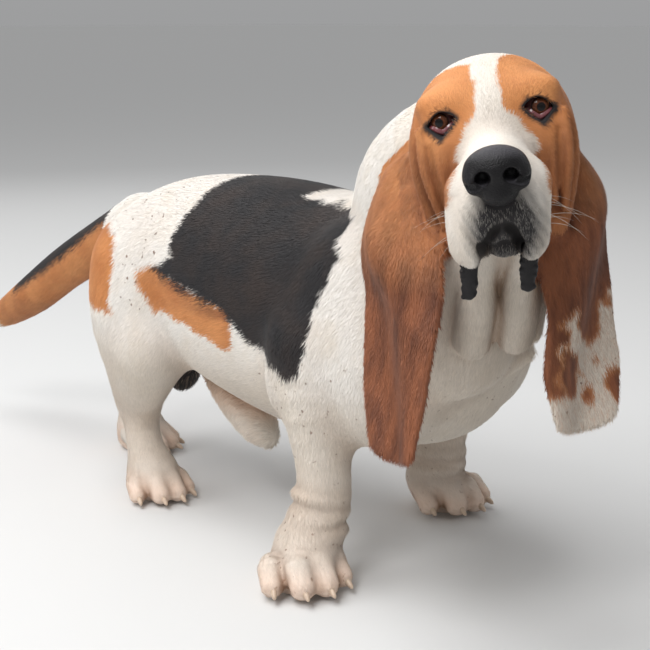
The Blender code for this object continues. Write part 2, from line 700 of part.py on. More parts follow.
def merge_near(obj):
    """Joins the almost coincident points that a cut leaves."""
    bm = bmesh.new()
    bm.from_mesh(obj.data)
    bmesh.ops.remove_doubles(bm, verts=bm.verts, dist=MERGE)
    bmesh.ops.dissolve_degenerate(bm, edges=bm.edges, dist=MERGE)
    part_touching(bm)
    bm.to_mesh(obj.data)
    bm.free()


def part_touching(bm):
    """Parts two surfaces that meet in one point only, and draws each back a little."""
    for vert in [v for v in bm.verts if not v.is_manifold]:
        for single in bmesh.utils.vert_separate(vert, []):
            around = [edge.other_vert(single).co for edge in single.link_edges]
            if around:
                single.co = single.co.lerp(sum(around, Vector()) / len(around), 0.1)


# Cutting the whole figure into named pieces


def region(point, normal, tangent, low, high, depth, half_width, grow=0.0):
    """A box with one face on a cut: it reaches along the normal, over all that is to become one piece."""
    normal = unit(normal)
    tangent = unit(np.asarray(tangent, float) - (np.asarray(tangent, float) @ normal) * normal)
    other = np.cross(normal, tangent)
    corners = []
    for n in (-grow, depth + grow):
        for a, b in ((low - grow, -1), (high + grow, -1), (high + grow, 1), (low - grow, 1)):
            aside = other * b * (half_width + grow)
            corners.append(np.asarray(point, float) + normal * n + tangent * a + aside)
    faces = [(3, 2, 1, 0), (4, 5, 6, 7), (0, 1, 5, 4), (1, 2, 6, 5), (2, 3, 7, 6), (3, 0, 4, 7)]
    return closed_mesh("region", corners, faces)


def closed_mesh(name, points, faces):
    """A closed mesh with its faces turned out."""
    obj = mesh_object(name, points, faces)
    bm = bmesh.new()
    bm.from_mesh(obj.data)
    bmesh.ops.recalc_face_normals(bm, faces=bm.faces)
    bm.to_mesh(obj.data)
    bm.free()
    return obj


def boolean(obj, cutter, operation, solver="EXACT"):
    """Applies one Boolean, removes the cutter and keeps the largest closed surface."""
    step = obj.modifiers.new(operation.lower(), "BOOLEAN")
    step.operation = operation
    step.solver = solver
    step.object = cutter
    applied(obj)
    bpy.data.objects.remove(cutter)
    merge_near(obj)
    keep_largest(obj)
    return obj


def copied(obj, name):
    new = obj.copy()
    new.data = obj.data.copy()
    new.name = name
    bpy.context.collection.objects.link(new)
    return new


def taken_from(obj, name, **box):
    """Parts the piece inside the box from the object, with the gap between them."""
    piece = boolean(copied(obj, name), region(**box), "INTERSECT")
    boolean(obj, region(grow=GAP, **box), "DIFFERENCE")
    return piece


def swollen(obj, by):
    """A copy of the object whose surface lies a little further out, as a cutter for what it sits in."""
    cutter = copied(obj, obj.name + "_room")
    bm = bmesh.new()
    bm.from_mesh(cutter.data)
    bm.normal_update()
    for v, normal in [(v, v.normal.copy()) for v in bm.verts]:
        v.co += normal * by * min(2.0, v.calc_shell_factor())
    bm.to_mesh(cutter.data)
    bm.free()
    return cutter


def make_room(obj, piece, solver="EXACT"):
    """Cuts the bed of a piece out of what it grows from."""
    return boolean(obj, swollen(piece, GAP), "DIFFERENCE", solver)


# The pieces


def whole_body_clay():
    clay = trunk_clay() + neck_clay() + skull_clay()
    clay += both_sides(shoulder_clay) + both_sides(front_leg_clay) + both_sides(hind_leg_clay)
    for name in FEET:
        clay += paw_clay(name)
    return clay + tail_clay()


def head_clay():
    clay = neck_clay() + skull_clay() + muzzle_clay() + both_sides(face_clay)
    return clay + both_sides(lid_clay) + mouth_clay()


NECK_TOP = on_head(0, -0.035, -0.088)
NECK_TOP_WAY = unit(-0.75 * AHEAD - 0.66 * UP)
NECK_FOOT = np.array((-0.022, -0.066, 0.312))
NECK_FOOT_WAY = unit((-0.20, -0.58, 0.79))
CHOP = 0.012
HIND_LEG_SPAN = {-1: (0.315, 0.10), 1: (0.445, 0.145)}


def half_space(point, way):
    """All that lies beyond a plane."""

    def distance(p):
        return -(p - point) @ way

    return distance, np.full(3, -9.0), np.full(3, 9.0)


def make_head():
    clay = head_clay() + [(half_space(NECK_TOP + NECK_TOP_WAY * CHOP, NECK_TOP_WAY), 0.001, -1)]
    head = sculpted("head", clay, on_head(0, -0.03, -0.03) - 0.17, on_head(0, -0.03, -0.03) + 0.17,
                    HEAD_CELL, HEAD_TRIANGLES)
    beyond = region(NECK_TOP - NECK_TOP_WAY * GAP / 2, NECK_TOP_WAY, LEFT, -0.2, 0.2, 0.2, 0.2)
    return boolean(head, beyond, "DIFFERENCE")


def make_body():
    clay = whole_body_clay() + [(half_space(NECK_TOP - NECK_TOP_WAY * CHOP, -NECK_TOP_WAY), 0.001, -1)]
    body = sculpted("torso", clay, (-0.25, -0.28, -0.02), (0.25, 0.80, 0.56), BODY_CELL, BODY_TRIANGLES)
    beyond = region(NECK_TOP + NECK_TOP_WAY * GAP / 2, -NECK_TOP_WAY, LEFT, -0.3, 0.3, 0.3, 0.3)
    boolean(body, beyond, "DIFFERENCE")
    floor = region((0, 0.2, 0), (0, 0, -1), (1, 0, 0), -0.5, 0.5, 0.1, 0.8)
    return boolean(body, floor, "DIFFERENCE")


def part_body(body):
    """Takes the neck, tail, legs and paws from the trunk."""
    made = [taken_from(body, "neck", point=NECK_FOOT, normal=NECK_FOOT_WAY, tangent=(1, 0, 0),
                       low=-0.25, high=0.25, depth=0.30, half_width=0.25)]
    made.append(taken_from(body, "tail", point=(0, 0.474, 0.278), normal=(0, 0.87, -0.5), tangent=(1, 0, 0),
                           low=-0.06, high=0.06, depth=0.40, half_width=0.06))
    for side, word in ((-1, "right"), (1, "left")):
        (x, y), _ = FEET["front_" + word]
        leg = taken_from(body, "front_leg_" + word, point=(side * 0.100, y + 0.01, 0.166),
                         normal=(side * 0.73, 0, -0.68), tangent=(side * 0.68, 0, 0.73),
                         low=-0.19, high=0.10, depth=0.25, half_width=0.115)
        paw = taken_from(leg, "front_paw_" + word, point=(x, y, 0.050),
                         normal=(0, 0, -1), tangent=(1, 0, 0),
                         low=-0.10, high=0.10, depth=0.08, half_width=0.12)
        made += [leg, paw]
        (x, y), _ = FEET["hind_" + word]
        middle, half_width = HIND_LEG_SPAN[side]
        leg = taken_from(body, "hind_leg_" + word, point=(side * 0.085, middle, 0.209),
                         normal=(side * 0.60, 0, -0.80), tangent=(side * 0.80, 0, 0.60),
                         low=-0.17, high=0.08, depth=0.30, half_width=half_width)
        paw = taken_from(leg, "hind_paw_" + word, point=(x, y, 0.043),
                         normal=(0, 0, -1), tangent=(1, 0, 0),
                         low=-0.10, high=0.10, depth=0.08, half_width=0.12)
        made += [leg, paw]
    return made


def make_eye(side):
    """An eyeball. Its clear front bulges a little over the iris."""
    middle, gaze = eye_place(side)
    bm = bmesh.new()
    bmesh.ops.create_uvsphere(bm, u_segments=16, v_segments=10, radius=EYE_RADIUS)
    mesh = bpy.data.meshes.new("eye")
    turn = Vector((0, 0, 1)).rotation_difference(Vector(gaze)).to_matrix()
    bmesh.ops.transform(bm, matrix=Matrix.Translation(middle) @ turn.to_4x4(), verts=bm.verts)
    bm.to_mesh(mesh)
    bm.free()
    obj = bpy.data.objects.new("eye_left" if side > 0 else "eye_right", mesh)
    bpy.context.collection.objects.link(obj)
    return obj


def make_lip(side):
    """The dark, bare flap that the corner of each flew ends in."""
    top = on_head(side * 0.0235 + FLEW_SWING - 0.001, -0.102, 0.048)
    mid = top + np.array((0.0, 0.0, -0.018)) - AHEAD * 0.002
    foot = top + np.array((0.0, 0.0, -0.031)) - AHEAD * 0.003
    way = LEFT * 0.25 * side + AHEAD * 0.97
    flap = rod([top, mid, foot], [0.0075, 0.0070, 0.0055], flat=0.55, flat_along=way)
    name = "lip_left" if side > 0 else "lip_right"
    return sculpted(name, [(flap, 0.001, 1)], flap[1] - 0.004, flap[2] + 0.004, LIP_CELL, LIP_TRIANGLES)


def make_nose():
    clay = nose_clay()
    return sculpted("nose", clay, on_head(0, -0.035, 0.09) - 0.04, on_head(0, -0.035, 0.09) + 0.04,
                    NOSE_CELL, NOSE_TRIANGLES)


def make_ear(side):
    flap = ear_sheet(side)
    name = "ear_left" if side > 0 else "ear_right"
    return sculpted(name, [(flap, 0.001, 1)], flap[1] - 0.006, flap[2] + 0.006, EAR_CELL, EAR_TRIANGLES)


def claw_rings(place, aim):
    """A curved, blunt claw as rings that shrink towards its tip."""
    down = np.array([0, 0, -1.0])
    aside = unit(np.cross(aim, down))
    rings = []
    for k in range(CLAW_RINGS):
        t = k / (CLAW_RINGS - 1)
        centre = place + aim * (CLAW_LENGTH * t) + down * (0.006 * t**1.6)
        radius = CLAW_RADIUS * (1 - 0.45 * t**1.5)
        axis = unit(aim + down * 0.6 * t)
        across = unit(np.cross(aside, axis))
        rings.append([centre + radius * (0.8 * math.cos(a) * aside + 1.15 * math.sin(a) * across)
                      for a in [2 * math.pi * j / CLAW_SIDES for j in range(CLAW_SIDES)]])
    return rings


def make_claws(foot):
    claws = []
    for number, (place, half, high, aim) in enumerate(toe_middles(foot), 1):
        root = place + aim * (half * 0.55) + np.array([0, 0, high * 0.33])
        points = [p for ring in claw_rings(root, aim) for p in ring]
        n = CLAW_SIDES
        faces = [tuple(range(n))[::-1], tuple(range((CLAW_RINGS - 1) * n, CLAW_RINGS * n))]
        for k in range(CLAW_RINGS - 1):
            for j in range(n):
                a = k * n + j
                b = k * n + (j + 1) % n
                faces.append((a, b, b + n, a + n))
        claws.append(closed_mesh(f"claw_{foot}_{number}", points, faces))
    return claws


def make_soft_part(name, clay, cell, triangles):
    low = np.min([c[0][1] for c in clay], axis=0) - 0.01
    high = np.max([c[0][2] for c in clay], axis=0) + 0.01
    return sculpted(name, clay, low, high, cell, triangles)


# Materials

COLOURS = {
    "white coat": ((0.80, 0.76, 0.70), 0.85),
    "tan coat": ((0.55, 0.23, 0.07), 0.85),
    "dark tan ear": ((0.30, 0.10, 0.04), 0.80),
    "black saddle": ((0.020, 0.018, 0.018), 0.80),
    "pink skin": ((0.70, 0.48, 0.40), 0.70),
    "dark skin": ((0.020, 0.018, 0.018), 0.55),
    "nose leather": ((0.018, 0.017, 0.018), 0.40),
    "eye": ((0.10, 0.035, 0.015), 0.05),
    "claw horn": ((0.60, 0.50, 0.40), 0.45),
}


def finish(obj):
    """Gives a piece a material of its own."""
    rgb, rough = COLOURS[colour_of(obj.name)]
    material = bpy.data.materials.new(obj.name)
    material.use_nodes = True
    shader = material.node_tree.nodes["Principled BSDF"]
    shader.inputs["Base Color"].default_value = (*rgb, 1)
    shader.inputs["Roughness"].default_value = rough
    shader.inputs["Metallic"].default_value = 0.0
    obj.data.materials.clear()
    obj.data.materials.append(material)
    obj.data.shade_smooth()


COLOUR_OF_KIND = {
    "ear": "dark tan ear", "eye": "eye", "nose": "nose leather", "lip": "dark skin",
    "scrotum": "dark skin", "claw": "claw horn", "sheath": "pink skin", "head": "tan coat",
    "torso": "black saddle",
}


def colour_of(name):
    return COLOUR_OF_KIND.get(name.split("_")[0], "white coat")


def face_pieces(head):
    """Eyes, nose and lip flaps, each set in a bed cut out of the head."""
    pieces = []
    for side in (-1, 1):
        pieces += [make_eye(side), make_lip(side)]
    pieces.append(make_nose())
    for piece in pieces:
        make_room(head, piece)
    return pieces


def soft_pieces(body, found):
    """Sheath and scrotum, cut clear of the belly and the thighs."""
    sheath_clay, pouch_clay = belly_clay()
    sheath = make_soft_part("sheath", [sheath_clay], SOFT_CELL, SHEATH_TRIANGLES)
    pouch = make_soft_part("scrotum", [pouch_clay], SOFT_CELL, POUCH_TRIANGLES)
    for piece in (sheath, pouch):
        for other in (body, found["hind_leg_left"], found["hind_leg_right"]):
            boolean(piece, swollen(other, GAP), "DIFFERENCE", "MANIFOLD")
    return [sheath, pouch]


def stand_on_origin(pieces):
    """Parents all pieces to one empty, and moves it so that the box round the dog stands on the origin."""
    corners = np.array([v.co for obj in pieces for v in obj.data.vertices])
    middle = (corners.min(0) + corners.max(0)) / 2
    dog = bpy.data.objects.new("dog", None)
    bpy.context.collection.objects.link(dog)
    dog.location = (-middle[0], -middle[1], -corners[:, 2].min())
    for obj in pieces:
        obj.parent = dog


def main():
    for obj in list(bpy.data.objects):
        bpy.data.objects.remove(obj)
    head = make_head()
    body = make_body()
    pieces = part_body(body)
    found = {obj.name: obj for obj in pieces}
    pieces += face_pieces(head)
    for side in (-1, 1):
        ear = make_ear(side)
        for other in (head, found["neck"], body):
            # The exact solver loses the thin ear here
            boolean(ear, swollen(other, GAP), "DIFFERENCE", "MANIFOLD")
        pieces.append(ear)
    for foot in FEET:
        for claw in make_claws(foot):
            make_room(found[foot.replace("_", "_paw_")], claw, "MANIFOLD")
            pieces.append(claw)
    pieces += [head, body] + soft_pieces(body, found)
    for obj in pieces:
        finish(obj)
    stand_on_origin(pieces)


main()
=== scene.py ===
# %% [markdown]
# # A basset hound, life size
# A heavy, low dog in a short smooth coat, standing with its head turned to its right. The packed
# model gives its solids. This script puts one skin over them, then a coat of small tufts, wet eyes,
# nose leather, lips, claws and whiskers. All lengths are in metres.

# %% Load the frame
import json
import math
import bmesh
import bpy
import numpy as np
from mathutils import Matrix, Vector
from mathutils.bvhtree import BVHTree

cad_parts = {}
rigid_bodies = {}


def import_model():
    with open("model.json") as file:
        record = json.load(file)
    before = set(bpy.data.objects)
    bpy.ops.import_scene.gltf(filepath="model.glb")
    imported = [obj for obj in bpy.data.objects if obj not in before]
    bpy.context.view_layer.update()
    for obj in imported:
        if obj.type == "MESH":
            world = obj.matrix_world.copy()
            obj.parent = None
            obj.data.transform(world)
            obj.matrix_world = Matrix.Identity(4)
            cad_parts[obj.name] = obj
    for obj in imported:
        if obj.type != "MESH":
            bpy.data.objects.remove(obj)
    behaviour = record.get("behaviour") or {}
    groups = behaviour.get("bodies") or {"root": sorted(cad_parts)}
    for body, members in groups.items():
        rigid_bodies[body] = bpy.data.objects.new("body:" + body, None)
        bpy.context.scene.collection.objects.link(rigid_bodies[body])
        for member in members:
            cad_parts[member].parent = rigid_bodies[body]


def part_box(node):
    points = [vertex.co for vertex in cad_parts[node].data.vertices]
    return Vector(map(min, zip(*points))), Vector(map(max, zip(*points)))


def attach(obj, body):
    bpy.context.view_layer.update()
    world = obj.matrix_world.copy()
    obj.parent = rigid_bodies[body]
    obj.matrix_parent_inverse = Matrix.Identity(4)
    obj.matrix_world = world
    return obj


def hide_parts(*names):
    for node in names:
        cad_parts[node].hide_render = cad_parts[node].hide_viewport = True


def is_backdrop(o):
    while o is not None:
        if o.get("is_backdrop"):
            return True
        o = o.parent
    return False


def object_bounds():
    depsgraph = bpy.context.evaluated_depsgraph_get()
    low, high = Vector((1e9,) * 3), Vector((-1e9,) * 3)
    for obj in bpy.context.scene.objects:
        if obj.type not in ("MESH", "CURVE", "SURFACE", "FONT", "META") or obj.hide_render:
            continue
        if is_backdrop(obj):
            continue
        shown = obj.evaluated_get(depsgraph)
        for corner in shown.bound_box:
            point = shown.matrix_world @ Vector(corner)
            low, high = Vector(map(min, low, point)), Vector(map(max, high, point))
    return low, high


for obj in list(bpy.data.objects):
    bpy.data.objects.remove(obj)
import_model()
cad_box = [list(corner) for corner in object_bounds()]
print("the solids fill the box", [[round(v, 3) for v in corner] for corner in cad_box])

# %% [markdown]
# ## Where the head is
# Everything on the head is measured from the middle between the eyes: to the dog's left, up, and
# ahead. The head turns, nods and leans, so these three directions are worked out once and used by
# every piece of the face. The solids stand on the origin of their box, which moves the design a
# little. One eye, whose place in the design is known, gives that shift.

# %% Head directions and the shift
EYES_MIDDLE = (-0.146, -0.233, 0.476)
HEAD_TURN = math.radians(52.4)
HEAD_NOD = math.radians(-2.5)
HEAD_LEAN = math.radians(9.6)
EYE_SPREAD, EYE_RADIUS, EYE_DEPTH = 0.0405, 0.0118, 0.0100
EYE_TURN_OUT = math.radians(14)
SIDE_NAMES = {-1: "right", 1: "left"}


def unit(v):
    v = np.asarray(v, float)
    return v / np.linalg.norm(v, axis=-1, keepdims=True)


def head_axes():
    """The dog's left, up and forward, as the head has them."""
    level = math.cos(HEAD_NOD)
    ahead = np.array([-math.sin(HEAD_TURN) * level, -math.cos(HEAD_TURN) * level, math.sin(HEAD_NOD)])
    left = np.array([math.cos(HEAD_TURN), -math.sin(HEAD_TURN), 0.0])
    up = np.cross(ahead, left)
    return np.stack([left * math.cos(HEAD_LEAN) + up * math.sin(HEAD_LEAN),
                     up * math.cos(HEAD_LEAN) - left * math.sin(HEAD_LEAN), ahead])


HEAD = head_axes()
LEFT, UP, AHEAD = HEAD


def on_head(left, up, ahead):
    return np.array(EYES_MIDDLE) + left * LEFT + up * UP + ahead * AHEAD


def eye_axes(side):
    """The middle of an eyeball, and its directions outwards, up, and along its gaze."""
    gaze = unit(math.cos(EYE_TURN_OUT) * AHEAD + side * math.sin(EYE_TURN_OUT) * LEFT)
    middle = on_head(side * EYE_SPREAD, 0, 0) - gaze * EYE_DEPTH
    out = unit(side * LEFT - (side * LEFT @ gaze) * gaze)
    return middle, np.stack([out, side * np.cross(gaze, out), gaze])


eye_box = np.array(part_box("eye_right"))
SHIFT = eye_box.mean(0) - eye_axes(-1)[0]
print("the design stands", SHIFT.round(4), "from its box's origin")

# %% [markdown]
# ## Camera, light and floor
# The camera stands where the photograph's did: off the dog's right front, a metre and a half from
# its middle, and a little higher than the top of its head. Its lens and tilt come from matching
# the feet, the back and the head to the photograph. The light is soft and comes from above, as
# under a bright overcast sky. A picture of a sky could light the scene, but a plain gradient and
# four panels need no file.

# %% Camera
CAMERA_PLACE = np.array([-1.049, -0.922, 0.554])
CAMERA_PITCH, CAMERA_YAW = math.radians(12.5), math.radians(-46)
# The lens in pixels of the photograph, the photograph's width, and a sensor's width in millimetres
FOCAL_PIXELS, PHOTO_PIXELS, SENSOR_WIDTH = 1400, 650, 36
camera = bpy.data.objects.new("camera", bpy.data.cameras.new("camera"))
bpy.context.collection.objects.link(camera)
camera.data.sensor_width = SENSOR_WIDTH
camera.data.lens = SENSOR_WIDTH * FOCAL_PIXELS / PHOTO_PIXELS
aim = Vector((-math.sin(CAMERA_YAW) * math.cos(CAMERA_PITCH),
              math.cos(CAMERA_YAW) * math.cos(CAMERA_PITCH), -math.sin(CAMERA_PITCH)))
camera.location = CAMERA_PLACE + SHIFT
camera.rotation_mode = "QUATERNION"
camera.rotation_quaternion = aim.to_track_quat("-Z", "Y")
bpy.context.scene.camera = camera
print("camera at", [round(v, 3) for v in camera.location], "with a lens of", round(camera.data.lens, 1), "mm")

# %% Soft lights and sky
HORIZON_LIGHT, OVERHEAD_LIGHT = 0.345, 0.50


def soft_light(name, place, towards, size, watts):
    light = bpy.data.lights.new(name, "AREA")
    light.size = size
    light.energy = watts
    obj = bpy.data.objects.new(name, light)
    bpy.context.collection.objects.link(obj)
    obj.location = place
    obj.rotation_mode = "QUATERNION"
    obj.rotation_quaternion = (Vector(towards) - Vector(place)).to_track_quat("-Z", "Y")


soft_light("sky panel", (-0.7, 0.5, 2.6), (0, 0, 0.2), 1.8, 46)
soft_light("key panel", (-1.95, -0.75, 2.30), (-0.1, -0.1, 0.35), 1.0, 36)
soft_light("side panel", (-2.3, 1.2, 1.5), (0, 0.1, 0.3), 1.2, 12)
soft_light("back panel", (1.2, 2.4, 1.8), (0, 0, 0.3), 1.6, 11)
# The sky is brighter overhead, and at the horizon it is as bright as the floor far away
world = bpy.data.worlds.new("studio")
world.use_nodes = True
sky = world.node_tree
way = sky.nodes.new("ShaderNodeTexCoord")
height = sky.nodes.new("ShaderNodeSeparateXYZ")
sky.links.new(way.outputs["Generated"], height.inputs[0])
rise = sky.nodes.new("ShaderNodeMapRange")
sky.links.new(height.outputs["Z"], rise.inputs["Value"])
for key, value in (("From Min", 0.0), ("From Max", 0.4), ("To Min", HORIZON_LIGHT), ("To Max", OVERHEAD_LIGHT)):
    rise.inputs[key].default_value = value
sky.nodes["Background"].inputs["Color"].default_value = (0.985, 0.99, 1.0, 1)
sky.links.new(rise.outputs[0], sky.nodes["Background"].inputs["Strength"])
bpy.context.scene.world = world
bpy.context.scene.view_settings.view_transform = "Standard"
print("four soft lights, and a sky from", HORIZON_LIGHT, "to", OVERHEAD_LIGHT)

# %% Floor
FLOOR_SIZE = 60
bm = bmesh.new()
bmesh.ops.create_grid(bm, x_segments=1, y_segments=1, size=FLOOR_SIZE)
floor_mesh = bpy.data.meshes.new("studio floor")
bm.to_mesh(floor_mesh)
bm.free()
studio_floor = bpy.data.objects.new("studio_floor", floor_mesh)
bpy.context.collection.objects.link(studio_floor)
studio_floor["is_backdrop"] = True
floor_paint = bpy.data.materials.new("pale floor")
floor_paint.use_nodes = True
floor_shader = floor_paint.node_tree.nodes["Principled BSDF"]
floor_shader.inputs["Base Color"].default_value = (0.66, 0.66, 0.655, 1)
floor_shader.inputs["Roughness"].default_value = 0.9
floor_mesh.materials.append(floor_paint)
print("floor", [round(v) for v in studio_floor.dimensions[:2]], "metres")

# %% [markdown]
# ## Clay
# Flesh has no hard edges. It could be modelled from a cage of quads under a subdivision surface,
# but muscles, folds and wrinkles that run into each other are easier as clay: each lump is a small
# function that gives the distance to its surface, and a smooth minimum blends one lump into the
# next. A lump with the sign -1 is carved off instead.

# %% Clay lumps
def smooth_path(points, count):
    """Points along a smooth curve through the given ones (Catmull-Rom)."""
    p = np.asarray(points, float)
    p = np.vstack([2 * p[0] - p[1], p, 2 * p[-1] - p[-2]])
    at = np.linspace(0, len(p) - 3, count)
    k = np.minimum(at.astype(int), len(p) - 4)
    t = (at - k)[:, None]
    a, b, c, d = p[k], p[k + 1], p[k + 2], p[k + 3]
    return 0.5 * (2 * b + (c - a) * t + (2 * a - 5 * b + 4 * c - d) * t**2 + (3 * b - a - 3 * c + d) * t**3)


def ball(centre, radii, axes=None):
    """An ellipsoid. The rows of axes are the directions of its three radii."""
    centre = np.asarray(centre, float)
    radii = np.asarray(radii, float)
    axes = np.eye(3) if axes is None else axes

    def distance(p):
        q = (p - centre) @ axes.T
        near = np.linalg.norm(q / radii, axis=1)
        slope = np.linalg.norm(q / radii**2, axis=1) + 1e-9
        return near * (near - 1) / slope

    reach = np.sqrt(((axes * radii[:, None]) ** 2).sum(0))
    return distance, centre - reach, centre + reach


def rod(points, radii, flat=1.0, flat_along=(1, 0, 0), count=0):
    """A bent, tapered rod through the points. flat below 1 thins it along one direction."""
    stations = np.column_stack([np.asarray(points, float), np.asarray(radii, float)])
    if count:
        stations = smooth_path(stations, count)
    axis = unit(flat_along)
    squeeze = np.eye(3) + (1 / flat - 1) * np.outer(axis, axis)
    line = stations[:, :3] @ squeeze
    thick = stations[:, 3]

    def distance(p):
        q = p @ squeeze
        best = np.full(len(p), 1e9)
        for a, b, ra, rb in zip(line[:-1], line[1:], thick[:-1], thick[1:]):
            step = b - a
            t = np.clip((q - a) @ step / (step @ step), 0, 1)
            best = np.minimum(best, np.linalg.norm(q - a - t[:, None] * step, axis=1) - (ra + t * (rb - ra)))
        return best

    return distance, (stations[:, :3] - thick[:, None]).min(0), (stations[:, :3] + thick[:, None]).max(0)


def spline(knots, values, at):
    path = smooth_path(np.column_stack([knots, values]), 16 * len(knots))
    return np.interp(at, path[:, 0], path[:, 1])


def field_of(clay, points):
    """The distance to the whole figure: each lump is blended on or carved off in turn."""
    total = np.full(len(points), 1.0)
    for (distance, low, high), blend, sign in clay:
        reach = 0.03 + blend
        near = ((points > low - reach) & (points < high + reach)).all(1)
        if not near.any():
            continue
        d = distance(points[near])
        old = total[near]
        if sign > 0:
            mix = np.clip(0.5 + 0.5 * (old - d) / blend, 0, 1)
            total[near] = old + (d - old) * mix - blend * mix * (1 - mix)
        else:
            mix = np.clip(0.5 - 0.5 * (old + d) / blend, 0, 1)
            total[near] = old + (-d - old) * mix + blend * mix * (1 - mix)
    return total


def both_sides(make):
    return [item for side in (-1, 1) for item in make(side)]


far_off = ball((0, 0, 0), (0.01, 0.01, 0.01))[0](np.array([[0.0, 0.0, 0.03]]))[0]
print("a place 3 cm above the middle of a 1 cm ball is", round(float(far_off), 4), "m from it")

# %% [markdown]
# ## Trunk, legs and tail
# A basset's ribcage is long and round like a barrel, and its belly rises only a little. The trunk
# is one oval whose height and width are read off a few knots along the spine. The legs are bent
# rods that thin towards the foot, and loose skin rolls over the wrists of the forelegs.

# %% Trunk and shoulders
WITHERS, BACK_TOP, CHEST_HALF_WIDTH, CHEST_FLOOR = 0.368, 0.382, 0.114, 0.118
FEET = {
    "front_right": ((-0.130, 0.000), math.radians(-24)),
    "front_left": ((0.150, 0.045), math.radians(-14)),
    "hind_right": ((-0.058, 0.313), math.radians(-14)),
    "hind_left": ((0.050, 0.468), math.radians(8)),
}
PASTERN_INSET = {-1: 0.027, 1: 0.013}


def trunk():
    """Ribcage, belly and rump: an oval whose height and width change from front to back."""
    knots = [-0.15, -0.10, -0.04, 0.03, 0.12, 0.20, 0.28, 0.345, 0.393, 0.424]
    tops = [0.275, 0.322, 0.352, WITHERS, BACK_TOP - 0.002, BACK_TOP, 0.376, 0.356, 0.326, 0.285]
    floors = [0.215, 0.160, 0.128, CHEST_FLOOR, 0.126, 0.143, 0.165, 0.190, 0.216, 0.255]
    broad = CHEST_HALF_WIDTH
    halves = [0.030, 0.078, 0.100, broad - 0.002, broad, broad - 0.003, 0.098, 0.086, 0.066, 0.030]
    y_low, y_high = knots[0], knots[-1]

    def distance(p):
        y = np.clip(p[:, 1], y_low, y_high)
        top, floor, half = [spline(knots, values, y) for values in (tops, floors, halves)]
        tall = (top - floor) / 2
        across = p[:, 0] / half
        upright = (p[:, 2] - (top + floor) / 2) / tall
        # A barrel is fuller than an ellipse
        fullness = 2.3
        round_way = (np.abs(across) ** fullness + np.abs(upright) ** fullness) ** (1 / fullness)
        return (round_way - 1) * np.minimum(half, tall) + 0.9 * np.abs(p[:, 1] - y)

    return distance, np.array([-broad, y_low, min(floors)]), np.array([broad, y_high, BACK_TOP])


def shoulder_clay(side):
    shift = FEET["front_" + SIDE_NAMES[side]][0][1] - 0.03
    blade = ball((side * 0.080, -0.020 + 0.3 * shift, 0.255), (0.046, 0.072, 0.100))
    point = ball((side * 0.078, -0.052 + 0.3 * shift, 0.222), (0.050, 0.066, 0.072))
    return [(blade, 0.03, 1), (point, 0.03, 1)]


trunk_clay = [(trunk(), 0.03, 1), (ball((0.0, -0.070, 0.235), (0.075, 0.072, 0.088)), 0.03, 1)]
print("withers", WITHERS, "back", BACK_TOP, "chest width", 2 * CHEST_HALF_WIDTH)

# %% Forelegs
# Rolls of loose skin over the wrist: height, half width, half height and tilt in degrees
WRIST_ROLLS = ((0.056, 0.0300, 0.0115, 5), (0.073, 0.0305, 0.0110, -7), (0.091, 0.0290, 0.0085, 6))


def front_leg_clay(side):
    """A short, heavy, slightly bowed foreleg in loose skin that wrinkles above the paw."""
    (x, y), _ = FEET["front_" + SIDE_NAMES[side]]
    inset = side * PASTERN_INSET[side]
    line = [(side * 0.094, y + 0.014, 0.235), (side * 0.102, y + 0.004, 0.180), (x - inset, y - 0.006, 0.125),
            (x - inset, y - 0.004, 0.080), (x - inset * 0.5, y + 0.008, 0.042)]
    clay = [(rod(line, [0.046, 0.036, 0.0285, 0.0280, 0.027], count=12), 0.025, 1)]
    clay.append((ball((side * 0.104, y + 0.036, 0.194), (0.022, 0.024, 0.030)), 0.02, 1))
    for height, wide, tall, tilt in WRIST_ROLLS:
        lean = math.radians(tilt) * side
        axes = np.array([(math.cos(lean), 0, math.sin(lean)), (0, 1, 0), (-math.sin(lean), 0, math.cos(lean))])
        clay.append((ball((x - inset * 0.95, y - 0.002, height), (wide, wide, tall), axes), 0.008, 1))
    return clay


print(len(front_leg_clay(1)), "lumps in each foreleg")

# %% Hind legs, tail and belly
POUCH_PLACE = (0.0, 0.328, 0.150)


def hind_leg_clay(side):
    """Rounded thigh, stifle, second thigh sloping back to the hock, and upright shank."""
    (x, y), _ = FEET["hind_" + SIDE_NAMES[side]]
    stretch = y - FEET["hind_right"][0][1]
    hip = (side * 0.062, 0.325 + 0.10 * stretch, 0.275)
    stifle = (side * 0.082, 0.284 + 0.50 * stretch, 0.185)
    hock = (x, y + 0.025, 0.108)
    thigh = ball((side * 0.072, 0.314 + 0.26 * stretch, 0.238), (0.044, 0.074, 0.098))
    ham = rod([hip, (side * 0.074, 0.323 + 0.42 * stretch, 0.215), (x, y + 0.032, 0.135)],
              [0.048, 0.043, 0.026], count=8)
    calf = rod([stifle, ((stifle[0] + x) / 2, (stifle[1] + hock[1]) / 2 + 0.004, 0.142), hock],
               [0.040, 0.034, 0.0225], count=8)
    shank = rod([hock, (x, y + 0.020, 0.070), (x, y + 0.008, 0.036)], [0.0225, 0.0215, 0.024], count=6)
    heel = ball((x, y + 0.040, 0.112), (0.014, 0.013, 0.018))
    return [(thigh, 0.025, 1), (ham, 0.02, 1), (calf, 0.025, 1), (shank, 0.015, 1), (heel, 0.012, 1)]


